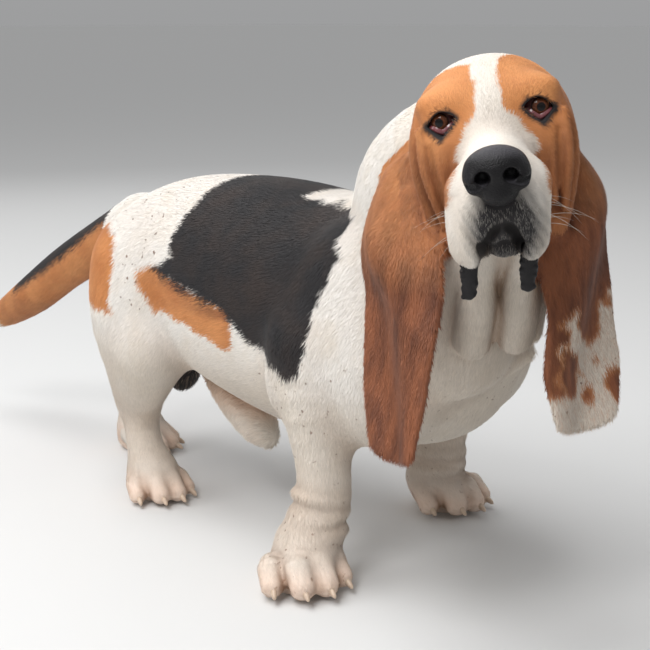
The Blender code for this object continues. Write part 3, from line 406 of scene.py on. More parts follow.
tail_line = [(0.0, 0.395, 0.310), (0.0, 0.450, 0.287), (0.0, 0.545, 0.240), (0.0, 0.630, 0.190),
             (0.0, 0.705, 0.152), (0.0, 0.760, 0.134)]
tail_clay = [(rod(tail_line, [0.036, 0.031, 0.0280, 0.0260, 0.018, 0.0060], count=20), 0.03, 1)]
sheath_line = [(0.0, 0.265, 0.168), (-0.004, 0.230, 0.132), (-0.008, 0.190, 0.104), (-0.008, 0.172, 0.090)]
belly_clay = [(rod(sheath_line, [0.026, 0.026, 0.023, 0.013], count=8), 0.010, 1),
              (ball(POUCH_PLACE, (0.026, 0.024, 0.036)), 0.006, 1)]
print("the tail runs from", tail_line[0], "to", tail_line[-1])

# %% [markdown]
# ## Paws
# The paws are big and round. Each is a pad, the top of the foot, and four knuckled toes, with the
# middle two reaching further ahead. The toes are blended with a small radius, so that the clefts
# between them stay.

# %% Paws
FRONT_PAW, HIND_PAW = (0.082, 0.094, 0.046), (0.070, 0.088, 0.038)
# Each toe's place across and ahead, in shares of the paw's width and length, and its size
TOES = ((-0.43, 0.16, 0.92), (-0.145, 0.355, 1.03), (0.14, 0.36, 0.98), (0.41, 0.18, 0.88))
TOE_HALF_WIDTH, TOE_SPREAD = 0.162, 0.55


def paw_size(name):
    return FRONT_PAW if name.startswith("front") else HIND_PAW


def foot_frame(name):
    (x, y), turn = FEET[name]
    return (np.array([x, y, 0.0]), np.array([math.cos(turn), math.sin(turn), 0.0]),
            np.array([math.sin(turn), -math.cos(turn), 0.0]))


def toe_middles(name):
    """Each toe's middle, half width, height and the way it points."""
    wide, long, tall = paw_size(name)
    origin, aside, ahead = foot_frame(name)
    for across, forward, size in TOES:
        place = origin + aside * across * wide + ahead * forward * long
        yield place, size * wide * TOE_HALF_WIDTH, size * tall, unit(ahead + aside * across * TOE_SPREAD)


def paw_clay(name):
    wide, long, tall = paw_size(name)
    origin, aside, ahead = foot_frame(name)
    up = np.array([0, 0, 1.0])
    axes = np.stack([aside, ahead, up])
    sole = origin - ahead * 0.03 * long + up * 0.36 * tall
    instep = origin - ahead * 0.04 * long + up * 0.80 * tall
    instep -= aside * math.copysign(0.15 * wide, origin[0]) * name.startswith("front")
    clay = [(ball(sole, (0.40 * wide, 0.40 * long, 0.55 * tall), axes), 0.014, 1),
            (ball(instep, (0.36 * wide, 0.34 * long, 0.50 * tall), axes), 0.02, 1)]
    # Two wrinkles cross the top of the foot behind the toes
    for forward, height, reach in ((0.05, 1.00, 0.30), (0.18, 0.80, 0.36)):
        wrinkle = [origin + aside * a * reach * wide + ahead * (forward - 0.10 * a * a) * long
                   + up * (height - 0.30 * a * a) * tall for a in (-1, -0.5, 0, 0.5, 1)]
        clay.append((rod(wrinkle, [0.004, 0.0065, 0.007, 0.0065, 0.004], count=9), 0.005, 1))
    for place, half, high, aim in toe_middles(name):
        line = [place - aim * 0.018 + up * high * 0.66, place - aim * 0.007 + up * high * 0.60,
                place + aim * 0.006 + up * high * 0.36]
        clay.append((rod(line, [half * 0.85, half * 1.14, half * 1.02]), 0.0075, 1))
    return clay


print("front paw", FRONT_PAW, "hind paw", HIND_PAW, "wide, long and tall")

# %% [markdown]
# ## Neck and head
# The neck is a strong arch, and the loose skin of the throat hangs from it in two folds. On the
# head the flews hang below the jaw, the cheeks fall in long folds from the outer corners of the
# eyes, and the lower lids sag.

# %% Neck, skull and muzzle
FLEW_SWING = -0.006
OUTER_FOLD = {-1: 0.0605, 1: 0.0560}
crest = [(0.0, 0.022, 0.276), (-0.020, -0.056, 0.335), (-0.035, -0.089, 0.400), on_head(0, -0.030, -0.098)]
throat = [on_head(0, -0.066, -0.020), (-0.098, -0.168, 0.345), (-0.060, -0.130, 0.265)]
neck_clay = [(rod(crest, [0.091, 0.075, 0.072, 0.056], count=24), 0.03, 1),
             (rod(throat, [0.042, 0.054, 0.060], count=14), 0.03, 1)]
for side in (-1, 1):
    fold = [on_head(side * 0.015, -0.088, 0.014)]
    for place in ((-0.120, -0.228, 0.350), (-0.113, -0.222, 0.315), (-0.100, -0.208, 0.284)):
        fold.append(place + side * 0.0185 * LEFT)
    neck_clay.append((rod(fold, [0.010, 0.0155, 0.0185, 0.0185], count=14), 0.006, 1))
    # A lesser fold hangs outside it, behind the ear
    hem = [on_head(side * 0.040, -0.090, -0.020), (-0.100, -0.196, 0.340) + side * 0.046 * LEFT,
           (-0.086, -0.178, 0.275) + side * 0.048 * LEFT]
    neck_clay.append((rod(hem, [0.010, 0.0150, 0.0120], count=10), 0.012, 1))
skull_clay = [(ball(on_head(-0.001, -0.007, -0.068), (0.0625, 0.0505, 0.083), HEAD), 0.014, 1),
              (ball(on_head(0, 0.000, -0.114), (0.034, 0.034, 0.038), HEAD), 0.014, 1)]
bridge = [on_head(0, -0.034, -0.030), on_head(0, -0.040, 0.030), on_head(0, -0.042, 0.058)]
jaw = [on_head(0, -0.074, -0.040), on_head(-0.001, -0.083, 0.015), on_head(-0.002, -0.083, 0.053)]
muzzle_clay = [(rod(bridge, [0.033, 0.0290, 0.0262], count=8), 0.02, 1),
               (rod(jaw, [0.026, 0.0160, 0.0130], count=8), 0.008, 1)]
print(len(neck_clay), "lumps in the neck,", len(skull_clay) + len(muzzle_clay), "in skull and muzzle")

# %% Cheeks, brows and flews
def face_clay(side):
    """Cheek, brow, the hanging flew and the folds of loose skin beside the eye."""
    cheek = ball(on_head(side * 0.041, -0.034, -0.040), (0.027, 0.045, 0.052), HEAD)
    brow = ball(on_head(side * 0.036, 0.013, -0.016), (0.021, 0.011, 0.018), HEAD)
    flew = rod([on_head(side * 0.0200 - 0.001, -0.052, 0.046),
                on_head(side * 0.0225 + FLEW_SWING, -0.092, 0.048)], [0.0220, 0.0170])
    drape = ball(on_head(side * 0.0235 + FLEW_SWING, -0.080, 0.036), (0.0150, 0.034, 0.036), HEAD)
    lip = ball(on_head(side * 0.012, -0.064, 0.068), (0.0205, 0.026, 0.0190), HEAD)
    # Long folds of loose skin fall from beside the eye to the throat, with creases between them
    far = OUTER_FOLD[side]
    outer = [on_head(side * (far - 0.0070), 0.005, -0.026), on_head(side * (far + 0.001), -0.020, -0.020),
             on_head(side * far, -0.055, -0.018), on_head(side * (far - 0.008), -0.092, -0.024),
             on_head(side * (far - 0.022), -0.130, -0.034)]
    middle = [on_head(side * 0.0575, -0.006, -0.005), on_head(side * 0.0565, -0.030, 0.0005),
              on_head(side * 0.0535, -0.054, 0.0015), on_head(side * 0.0490, -0.084, -0.006)]
    inner = [on_head(side * 0.044, -0.024, 0.006), on_head(side * 0.044, -0.045, 0.008),
             on_head(side * 0.041, -0.074, 0.004)]
    clay = [(cheek, 0.02, 1), (brow, 0.016, 1), (flew, 0.010, 1), (drape, 0.008, 1), (lip, 0.008, 1),
            (rod(outer, [0.006, 0.0085, 0.0090, 0.0070, 0.0030], count=14), 0.008, 1),
            (rod(middle, [0.004, 0.0065, 0.0065, 0.004], count=8), 0.005, 1),
            (rod(inner, [0.003, 0.0055, 0.004], count=6), 0.005, 1)]
    creases = [([(0.0620, 0.002, -0.012), (0.0625, -0.020, -0.007), (0.0615, -0.040, -0.005),
                 (0.0580, -0.060, -0.006), (0.0530, -0.085, -0.012)], 0.0026),
               ([(0.0530, -0.018, 0.0055), (0.0515, -0.034, 0.0100), (0.0490, -0.050, 0.0105),
                 (0.0465, -0.068, 0.0080)], 0.0020),
               ([(0.0335, -0.018, 0.0165), (0.0370, -0.036, 0.0185), (0.0400, -0.052, 0.0180)], 0.0016)]
    for line, width in creases:
        widths = [0.0002] + [width] * (len(line) - 2) + [0.0002]
        clay.append((rod([on_head(side * a, b, c) for a, b, c in line], widths, count=14), 0.005, -1))
    return clay


print(len(face_clay(1)), "lumps and creases on each side of the face")

# %% [markdown]
# ## Lids and mouth
# A lid is a thin shell over the eyeball with a slit cut through it, pointed at its corners. The
# mouth is a groove that arches over the chin and runs back inside each flew.

# %% Lids and mouth
LID_THICKNESS, LID_HALF_WIDTH, UPPER_LID_BOW, LOWER_LID_BOW = 0.0034, 0.0122, 0.0076, 0.0112
# The slit is set a little inwards, slants down outwards, and its lower edge is the more pointed
LID_SHIFT, LID_SLANT, UPPER_LID_POWER, LOWER_LID_POWER = 0.002, 0.16, 1.7, 1.25
MOUTH_HALF_WIDTH = 0.0175


def lid_slit(side):
    """The opening between the lids: pointed at its corners, and sagging below."""
    middle, axes = eye_axes(side)

    def distance(p):
        out, up, ahead = ((p - middle) @ axes.T).T
        arch = 1 - np.abs((out + LID_SHIFT) / LID_HALF_WIDTH) ** UPPER_LID_POWER
        sag = 1 - np.abs((out + LID_SHIFT) / LID_HALF_WIDTH) ** LOWER_LID_POWER
        height = up + LID_SLANT * out
        return np.max([height - UPPER_LID_BOW * arch, -height - LOWER_LID_BOW * sag, -ahead], axis=0)

    return distance, middle - 0.020, middle + 0.020


def lid_clay(side):
    middle, (out, up, gaze) = eye_axes(side)
    bag = rod([middle + out * 0.012 - up * 0.013 + gaze * 0.003, middle - up * 0.018 + gaze * 0.005,
               middle - out * 0.013 - up * 0.011 + gaze * 0.005], [0.003, 0.005, 0.003], count=6)
    return [(ball(middle, (EYE_RADIUS + LID_THICKNESS,) * 3), 0.006, 1), (bag, 0.006, 1),
            (ball(middle, (EYE_RADIUS + 0.0002,) * 3), 0.0005, -1), (lid_slit(side), 0.0012, -1)]


mouth_line = []
for across, height, ahead in ((-1.0, -0.112, 0.040), (-0.92, -0.096, 0.058), (-0.55, -0.081, 0.076),
                              (0, -0.075, 0.086), (0.55, -0.081, 0.076), (0.92, -0.096, 0.058),
                              (1.0, -0.112, 0.040)):
    swing = max(FLEW_SWING * (-0.070 - height) / 0.030, FLEW_SWING)
    mouth_line.append(on_head(across * MOUTH_HALF_WIDTH + swing, height, ahead))
mouth = rod(mouth_line, [0.0040, 0.0042, 0.0042, 0.0040, 0.0042, 0.0042, 0.0040], count=24)
lip_split = rod([on_head(0, -0.056, 0.100), on_head(0, -0.073, 0.090)], [0.0016, 0.0020])
# The flews hang apart below the chin, which stands back between them
flew_space = rod([on_head(-0.002, -0.096, 0.088), on_head(-0.005, -0.140, 0.056)], [0.0120, 0.0150])
chin = ball(on_head(-0.002, -0.094, 0.047), (0.0150, 0.0125, 0.0205), HEAD)
mouth_clay = [(flew_space, 0.006, -1), (chin, 0.004, 1), (mouth, 0.003, -1), (lip_split, 0.002, -1)]
print("the lids open", UPPER_LID_BOW + LOWER_LID_BOW, "m, the mouth is", 2 * MOUTH_HALF_WIDTH, "m wide")

# %% [markdown]
# ## Ears
# The ears are long soft leaves, set low, that curl inwards at the front. Each is a bent sheet: a
# spine that hangs from beside the cheek, with a width and a turn at each of its stations. A search
# tree gives the distance to it, so the ear joins the same clay as the rest and grows out of the
# head with no seam.

# %% Ears
LEVEL_LEFT = unit(LEFT * (1, 1, 0))
LEVEL_AHEAD = unit(AHEAD * (1, 1, 0))
# For each side: stations down the ear, its width at seven of them, and its turn there in degrees
EAR_SHAPE = {
    -1: ([on_head(-0.054, -0.026, -0.082), on_head(-0.084, -0.056, -0.071), (-0.180, -0.150, 0.362),
          (-0.182, -0.166, 0.312), (-0.192, -0.176, 0.252), (-0.208, -0.188, 0.193)],
         [0.056, 0.086, 0.100, 0.102, 0.096, 0.088, 0.062], [56, 50, 44, 42, 38, 36, 36]),
    1: ([on_head(0.054, -0.044, -0.082), on_head(0.070, -0.080, -0.066), (-0.052, -0.269, 0.376),
         (-0.058, -0.272, 0.328), (-0.068, -0.277, 0.270), (-0.076, -0.289, 0.213)],
        [0.044, 0.064, 0.096, 0.100, 0.096, 0.104, 0.076], [56, 50, 42, 36, 34, 38, 42]),
}


def sheet(places, half_thickness):
    """A thin bent sheet. places is a grid of points, and each has its own half thickness."""
    rows, columns = places.shape[:2]
    faces = [f for i in range(rows - 1) for j in range(columns - 1) for a in [i * columns + j]
             for f in ((a, a + 1, a + columns + 1), (a, a + columns + 1, a + columns))]
    tree = BVHTree.FromPolygons([Vector(q) for q in places.reshape(-1, 3)], faces)
    thick = half_thickness.reshape(-1)[np.array(faces)].mean(1)

    def distance(p):
        found = [tree.find_nearest(Vector(q)) for q in p]
        return np.array([f[3] for f in found]) - thick[[f[2] for f in found]]

    flat = places.reshape(-1, 3)
    return distance, flat.min(0) - thick.max(), flat.max(0) + thick.max()


def ear_places(side):
    """The grid of points down and across one ear, and the ear's half thickness at each."""
    rows, columns = 40, 17
    line, widths, turns = EAR_SHAPE[side]
    spine = smooth_path(line, rows)
    s = np.linspace(0, 1, rows)
    knots = np.linspace(0, 1, 7)
    wide = np.interp(s, knots, widths)
    turn = np.radians(np.interp(s, knots, turns))
    u = np.linspace(-1, 1, columns)
    places = np.zeros((rows, columns, 3))
    for i in range(rows):
        across = unit(LEVEL_LEFT * side * math.sin(turn[i]) - LEVEL_AHEAD * math.cos(turn[i]))
        away = unit(np.cross(across, (0, 0, 1)))
        away = away if away @ (side * LEFT + AHEAD) > 0 else -away
        cup = 0.016 * math.sin(math.pi * min(1, 0.35 + s[i])) + 0.004
        fold = 0.006 * np.sin(3.1 * u + 5.0 * s[i]) * min(1, 2.5 * s[i])
        rise = 0.036 * u * u * max(0, s[i] - 0.75)
        places[i] = spine[i] + np.outer(u, across) * wide[i] / 2 + np.outer(fold - cup * u * u, away)
        places[i, :, 2] += rise
    # The coat on the ears is thin, so their skin is let out by most of the coat's depth
    return places, np.broadcast_to(0.0050 - 0.0014 * np.abs(u) ** 3, (rows, columns))


ear_clay = [(sheet(*ear_places(side)), 0.004, 1) for side in (-1, 1)]
for side in (-1, 1):
    root = smooth_path(EAR_SHAPE[side][0], 40)
    burr = [on_head(side * 0.046, -0.022, -0.074), root[4], root[8]]
    ear_clay.append((rod(burr, [0.016, 0.010, 0.004]), 0.010, 1))
    print(SIDE_NAMES[side], "ear", round(float(np.linalg.norm(np.diff(root, axis=0), axis=1).sum()), 3), "m long")

# %% [markdown]
# ## One skin
# All the clay goes into one field, so the skin has no seams where the solids were parted. The
# surface lies a coat's depth inside the solids, so that the tips of the hairs reach the true
# outline. On the face the hair is so short that almost no depth is left.

# %% The whole field
COAT_DEPTH, FACE_DEPTH = 0.0012, 0.0004
dog_clay = trunk_clay + neck_clay + skull_clay
dog_clay += both_sides(shoulder_clay) + both_sides(front_leg_clay) + both_sides(hind_leg_clay)
for foot in FEET:
    dog_clay += paw_clay(foot)
dog_clay += tail_clay + belly_clay + muzzle_clay + both_sides(face_clay) + both_sides(lid_clay)
dog_clay += mouth_clay + ear_clay


def coat_depth(p):
    """How far the skin lies inside the solids: least round the eyes and the nose."""
    near = np.minimum.reduce([np.linalg.norm(p - on_head(0, -0.045, 0.075), axis=1) / 0.05,
                              np.linalg.norm(p - eye_axes(-1)[0], axis=1) / 0.03,
                              np.linalg.norm(p - eye_axes(1)[0], axis=1) / 0.03])
    low = p[:, 2] < 0.012
    return np.where(low, FACE_DEPTH, FACE_DEPTH + (COAT_DEPTH - FACE_DEPTH) * np.clip(near - 0.8, 0, 1))


def skin_field(p):
    return np.maximum(field_of(dog_clay, p) + coat_depth(p), -p[:, 2])


print(len(dog_clay), "lumps of clay in the dog")

# %% [markdown]
# ## From clay to mesh
# The field is sampled on a grid, but only near the surface. Each grid cell that the surface crosses
# gets one point, and neighbouring points are joined into quads. The face and the paws are then
# divided once more, and lids, mouth and nose twice. After each of the two rounds every point is
# moved onto the true surface along the field's slope.

# %% Grid to surface
CORNERS = np.array([(i, j, k) for i in (0, 1) for j in (0, 1) for k in (0, 1)])
EDGES = [(a, b) for a in range(8) for b in range(a + 1, 8) if abs(CORNERS[a] - CORNERS[b]).sum() == 1]
POINTS_AT_ONCE = 200000


def sampled(field, low, high, cell, coarse=4):
    """The field on a grid, worked out in full only in the blocks that the surface may cross."""
    low = np.array(low, float)
    blocks = np.ceil((np.array(high) - low) / (cell * coarse)).astype(int)
    axes = [low[i] + cell * coarse * np.arange(blocks[i]) + cell * (coarse - 1) / 2 for i in range(3)]
    rough = field(np.stack(np.meshgrid(*axes, indexing="ij"), -1).reshape(-1, 3)).reshape(blocks)
    values = rough.astype(np.float32).repeat(coarse, 0).repeat(coarse, 1).repeat(coarse, 2)
    near = np.argwhere(np.abs(rough) < cell * coarse * 1.2 + 0.002)
    offsets = np.stack(np.meshgrid(*[np.arange(coarse)] * 3, indexing="ij"), -1).reshape(-1, 3)
    index = (near[:, None] * coarse + offsets[None]).reshape(-1, 3)
    for start in range(0, len(index), POINTS_AT_ONCE):
        part = index[start:start + POINTS_AT_ONCE]
        values[tuple(part.T)] = field(low + part * cell)
    return values, low


def surface_of(values, low, cell):
    """One point in each grid cell that the surface crosses, joined into quads that face out."""
    inside = values < 0
    shape = tuple(n - 1 for n in values.shape)
    count = np.zeros(shape, np.int8)
    for c in CORNERS:
        count += inside[c[0]:c[0] + shape[0], c[1]:c[1] + shape[1], c[2]:c[2] + shape[2]]
    cells = np.argwhere((count > 0) & (count < 8))
    number = np.full(shape, -1, np.int32)
    number[tuple(cells.T)] = np.arange(len(cells))
    v = np.stack([values[tuple((cells + c).T)] for c in CORNERS], 1).astype(float)
    total = np.zeros((len(cells), 3))
    hits = np.zeros(len(cells))
    for a, b in EDGES:
        cut = (v[:, a] < 0) != (v[:, b] < 0)
        t = np.where(cut, v[:, a] / np.where(cut, v[:, a] - v[:, b], 1), 0)
        total += cut[:, None] * (CORNERS[a] + t[:, None] * (CORNERS[b] - CORNERS[a]))
        hits += cut
    points = low + (cells + total / hits[:, None]) * cell
    faces = []
    for axis in range(3):
        one, u, w = np.roll(np.eye(3, dtype=int), -axis, 0)
        first = inside[tuple(slice(0, n - o) for n, o in zip(inside.shape, one))]
        second = inside[tuple(slice(o, n) for n, o in zip(inside.shape, one))]
        for flip, crossing in ((False, first & ~second), (True, ~first & second)):
            at = np.argwhere(crossing)
            ring = np.stack([at, at - u, at - u - w, at - w], 1)
            whole = ((ring >= 0) & (ring < shape)).all((1, 2))
            quad = number[tuple(ring[whole].transpose(2, 0, 1))]
            faces.append(quad if not flip else quad[:, ::-1])
    return points, np.concatenate(faces)


def slope_of(field, p, step=0.0004):
    """Value and slope of the field, from four samples round each point."""
    sides = np.array([(1, 1, 1), (1, -1, -1), (-1, 1, -1), (-1, -1, 1)]) * step
    samples = np.stack([field(p + side) for side in sides])
    return samples.mean(0), np.einsum("kn,kc->nc", samples, sides) / (4 * step * step)


def onto_surface(field, p, most):
    """Moves points along the slope onto the surface, no further than most."""
    value, slope = slope_of(field, p)
    move = -value[:, None] * slope / np.maximum((slope**2).sum(1), 0.2)[:, None]
    far = np.linalg.norm(move, axis=1, keepdims=True)
    return p + move * np.minimum(1, most / np.maximum(far, 1e-9))


print("a grid cell has", len(CORNERS), "corners and", len(EDGES), "edges")

# %% The coarse skin
SKIN_CELL = 0.0034
SKIN_LOW, SKIN_HIGH = (-0.26, -0.34, -0.0117), (0.22, 0.78, 0.53)
values, grid_low = sampled(skin_field, SKIN_LOW, SKIN_HIGH, SKIN_CELL)
points, faces = surface_of(values, grid_low, SKIN_CELL)
print("skin before the fine parts:", len(points), "points", len(faces), "quads")

# %% The finer skin
LONGEST_MOVE = 0.0012


def in_head(p):
    return (p - np.array(EYES_MIDDLE)) @ HEAD.T


def fine_place(p):
    """Where the skin is made finer: the face and the paws."""
    left, up, ahead = in_head(p).T
    face = (ahead > -0.05) & (np.abs(left) < 0.075) & (up > -0.135) & (up < 0.06) & (p[:, 2] > 0.33)
    return face | (p[:, 2] < 0.055)


def finest_place(p):
    """The lids, the mouth and the nose's surroundings are divided once more."""
    eyes = [np.linalg.norm(p - eye_axes(side)[0], axis=1) < 0.022 for side in (-1, 1)]
    left, up, ahead = in_head(p).T
    muzzle = (ahead > 0.050) & (up < -0.045) & (up > -0.125) & (np.abs(left) < 0.04)
    return eyes[0] | eyes[1] | muzzle


def mesh_of(name, points, faces):
    mesh = bpy.data.meshes.new(name)
    mesh.from_pydata(points, [], faces)
    mesh.update()
    return mesh


def made_finer(mesh, chosen):
    """Divides every edge whose two ends are chosen."""
    bm = bmesh.new()
    bm.from_mesh(mesh)
    bm.verts.ensure_lookup_table()
    edges = [e for e in bm.edges if chosen[e.verts[0].index] and chosen[e.verts[1].index]]
    bmesh.ops.subdivide_edges(bm, edges=edges, cuts=1, use_grid_fill=True)
    bm.to_mesh(mesh)
    bm.free()


def points_of(mesh):
    co = np.empty(len(mesh.vertices) * 3)
    mesh.vertices.foreach_get("co", co)
    return co.reshape(-1, 3)


skin_mesh = mesh_of("skin", points, faces)
for chosen in (fine_place, finest_place):
    made_finer(skin_mesh, chosen(points_of(skin_mesh)))
    co = onto_surface(skin_field, points_of(skin_mesh), LONGEST_MOVE)
    co[:, 2] = np.maximum(co[:, 2], 0)
    skin_mesh.vertices.foreach_set("co", co.ravel())
print("skin:", len(co), "points,", len(skin_mesh.polygons), "faces")

# %% [markdown]
# ## Markings
# The coat is white with orange-tan on the head and rump, a black saddle, and chestnut ears. A
# picture could be painted and wrapped on, but masks worked out from a few named outlines are the
# same from every side, and the skin and every tuft of hair can share them. A mask is 1 inside its
# outline, 0 outside, and passes through 0.5 on it.

# %% Masks
def inside_outline(outline, a, b):
    """The distance to the edge of an outline drawn in two coordinates, more than 0 inside."""
    outline = np.array(outline, float)
    p = np.stack([a, b], 1)
    best = np.full(len(p), 9.0)
    within = np.zeros(len(p), bool)
    for q, r in zip(outline, np.roll(outline, -1, 0)):
        step = r - q
        t = np.clip((p - q) @ step / (step @ step), 0, 1)
        best = np.minimum(best, np.linalg.norm(p - q - t[:, None] * step, axis=1))
        crosses = (q[1] > p[:, 1]) != (r[1] > p[:, 1])
        where = (r[0] - q[0]) * (p[:, 1] - q[1]) / (r[1] - q[1] + 1e-12) + q[0]
        within ^= crosses & (p[:, 0] < where)
    return np.where(within, best, -best)


def mask_of(distance, softness):
    return np.clip(0.5 + distance / softness, 0, 1)


print("masks a millimetre inside, on and outside a soft edge:", mask_of(np.array([0.001, 0, -0.001]), 0.008))

# %% Outlines of the markings
# On the flank, as (along the trunk, height)
SADDLE = [(0.206, 0.50), (0.206, 0.354), (0.217, 0.331), (0.222, 0.314), (0.214, 0.301), (0.252, 0.287),
          (0.200, 0.272), (0.125, 0.257), (0.101, 0.238), (0.061, 0.225), (0.008, 0.213), (-0.008, 0.222),
          (-0.014, 0.256), (-0.014, 0.283), (-0.027, 0.313), (-0.034, 0.335), (-0.028, 0.350),
          (-0.040, 0.372), (0.052, 0.370), (0.084, 0.380), (0.090, 0.50)]
RUMP_TAN = [(0.272, 0.281), (0.250, 0.290), (0.190, 0.276), (0.118, 0.262), (0.112, 0.222), (0.124, 0.217),
            (0.184, 0.233), (0.248, 0.242), (0.268, 0.262)]
BUTTOCK_TAN = [(0.318, 0.318), (0.345, 0.325), (0.420, 0.300), (0.420, 0.262), (0.380, 0.236), (0.306, 0.232),
               (0.306, 0.285)]
# The white of the left ear's tip, as (across, height), and brown patches in it
ROAN = [(-0.098, 0.312), (-0.087, 0.314), (-0.080, 0.297), (-0.060, 0.291), (-0.040, 0.300), (-0.022, 0.318),
        (0.010, 0.318), (0.010, 0.190), (-0.140, 0.190), (-0.140, 0.240), (-0.112, 0.248), (-0.111, 0.275),
        (-0.101, 0.292)]
ROAN_SPOTS = [((-0.093, -0.284, 0.264), 0.016), ((-0.030, -0.288, 0.240), 0.013),
              ((-0.048, -0.275, 0.300), 0.013), ((-0.066, -0.285, 0.243), 0.006),
              ((-0.052, -0.284, 0.262), 0.005)]
# Half the width of the white on the face at each height, on the dog's right and left
BLAZE_HEIGHTS = [-0.100, -0.077, -0.056, -0.036, -0.028, -0.019, -0.010, 0.002, 0.014, 0.030, 0.040]
BLAZE_RIGHT = [0.043, 0.0445, 0.0405, 0.0340, 0.0315, 0.0275, 0.0215, 0.0130, 0.0088, 0.0092, 0.0120]
BLAZE_LEFT = [0.031, 0.0355, 0.0385, 0.0362, 0.0345, 0.0310, 0.0240, 0.0140, 0.0088, 0.0092, 0.0120]
print("the saddle is", round(SADDLE[0][0] - SADDLE[11][0], 3), "m long on the flank")

# %% The ears and the head
def ear_of(p):
    """Which points lie on an ear: the distance to the nearer ear sheet, and that ear's side."""
    found = []
    for side in (-1, 1):
        distance, low, high = ear_clay[(side + 1) // 2][0]
        gone = np.full(len(p), 1.0)
        near = ((p > low - 0.01) & (p < high + 0.01)).all(1)
        gone[near] = distance(p[near])
        found.append(gone)
    return np.minimum(*found), np.where(found[0] < found[1], -1, 1)


def blaze_white(left, up, ahead):
    """White on the face: the narrow blaze that widens into the muzzle, and the throat below."""
    on_right, on_left = [np.interp(up, BLAZE_HEIGHTS, widths) for widths in (BLAZE_RIGHT, BLAZE_LEFT)]
    blaze = np.where(left < 0, on_right, on_left) - np.abs(left)
    # Behind the flews the cheek is tan again
    blaze -= 0.6 * np.clip(0.052 - ahead, 0, 0.026) * np.clip((-0.030 - up) / 0.010, 0, 1)
    # On the crown the white spreads back to the nape, further on the dog's right
    crown = np.clip(-0.036 - ahead, 0, 1)
    spread = 0.010 + np.where(left < 0, 1.0, 0.35) * crown - np.abs(left)
    blaze = np.maximum(blaze, np.minimum(spread, 0.010 + up))
    # Under the jaw all is white, but the cheeks' folds stay tan to their ends
    flew = np.minimum(ahead - 0.040, -0.060 - up)
    return np.maximum.reduce([blaze, flew, np.where(np.abs(left) > 0.036, -0.110, -0.086) - up])


def head_tan(p):
    """Which places are the head's, the tan there, and how much browner cheeks and temples are: the coat's own
    deeper tan, and below the eyes painted shade as well.
    """
    left, up, ahead = in_head(p).T
    of_head = (p[:, 1] < 0.02) & (ahead > -0.145) & (up > -0.12) & (np.abs(left) < 0.085)
    behind = np.where(left < 0, ahead + 0.078, ahead + 0.100)
    inside = np.minimum.reduce([-blaze_white(left, up, ahead), behind, up + 0.118])
    inside += 0.0009 * np.sin(330 * up) + 0.0007 * np.sin(460 * left + 170 * ahead)
    tan = np.where(of_head, mask_of(inside, 0.008), 0)
    # Browner below the eyes, where shade is painted as well as deeper tan, and towards the temples
    brown = 0.55 * np.clip((-0.006 - up) / 0.030, 0, 1) + 0.35 * np.clip((np.abs(left) - 0.050) / 0.012, 0, 1)
    return of_head, tan, np.where(of_head, tan * np.minimum(brown, 0.62), 0)


print("at the eyes the blaze is", round(2 * float(blaze_white(*np.zeros((3, 1)))[0]), 4), "m wide")

# %% Saddle, tail and ears
def saddle_and_tan(p, tan, brown):
    """The black saddle, and the tan patches beside and behind it."""
    x, y, z = p.T
    of_trunk = (z > 0.12) & (y > -0.07)
    wavy = (0.0016 * np.sin(150 * y + 60 * z) + 0.0012 * np.sin(260 * z - 90 * y)
            + 0.0007 * np.sin(520 * y + 300 * x))
    # The saddle's edge is sharp in front, and shades into brown and tan at its lower rear
    soft = 0.009 + 0.024 * np.clip((y - 0.10) / 0.08, 0, 1) * np.clip((0.30 - z) / 0.03, 0, 1)
    saddle = inside_outline(SADDLE, y, z)
    black = np.where(of_trunk, mask_of(saddle + wavy, soft), 0)
    # In front of the saddle the white of the neck runs back along the spine
    black = np.minimum(black, 1 - mask_of(np.minimum(0.084 - y, 0.034 - np.abs(x)) + wavy, 0.010))
    tan = np.maximum(tan, np.where(of_trunk, mask_of(inside_outline(RUMP_TAN, y, z) + wavy, 0.012), 0))
    brown = np.where(of_trunk, 0.85 * tan * np.clip(1 + saddle / 0.024, 0.2, 1), brown)
    rear = np.where(np.abs(x) > 0.02, mask_of(inside_outline(BUTTOCK_TAN, y, z) + wavy, 0.012), 0)
    return np.maximum(tan, np.where(of_trunk, rear, 0)), brown, black


def tail_and_ears(p, tan, brown, black, on_ear, ear_side):
    """The tail is tan below and dark above; the ears are chestnut, and the left one's tip is white."""
    x, y, z = p.T
    along = np.clip((y - 0.40) / 0.36, 0, 1)
    spine_height = np.interp(y, [q[1] for q in tail_line], [q[2] for q in tail_line])
    on_tail = (y > 0.43) & (z > 0.10) & (np.abs(x) < 0.045)
    tan = np.where(on_tail, np.maximum(tan, mask_of(0.690 - y, 0.02)), tan)
    stripe = z - spine_height - 0.004 - 0.030 * np.abs(along - 0.45)
    black = np.where(on_tail, np.maximum(black, mask_of(np.minimum(stripe, 0.64 - y), 0.026)), black)
    # The ears are orange at their root and chestnut lower down, the left one from higher up: partly their own
    # colour, partly painted shade where they hang out of the light
    ear_top = np.where(ear_side < 0, 0.33, 0.38)
    chestnut = np.maximum(brown, on_ear * np.clip(1.0 - (z - ear_top) / 0.11, 0.12, 1))
    chestnut = np.where(on_tail, 0.55 * tan * np.clip(1.3 - along, 0.3, 1), chestnut)
    tan = np.where(on_ear > 0.5, np.maximum(tan, 1.0), tan)
    blotch = np.sin(230 * x + 90 * z) + np.sin(310 * z - 120 * x + 1) + np.sin(170 * x + 260 * z + 2)
    white_tip = mask_of(inside_outline(ROAN, x, z) + 0.003 * blotch, 0.012) * (ear_side > 0)
    for centre, size in ROAN_SPOTS:
        far = np.linalg.norm((p - centre) * (1, 1, 0.75), axis=1)
        white_tip *= 1 - mask_of(size - far + 0.002 * blotch, 0.009)
    tan = np.where(on_ear > 0.5, tan * (1 - 0.74 * white_tip), tan)
    return tan, chestnut * (1 - 0.74 * white_tip), black


print(len(ROAN_SPOTS), "brown spots in the white of the left ear")

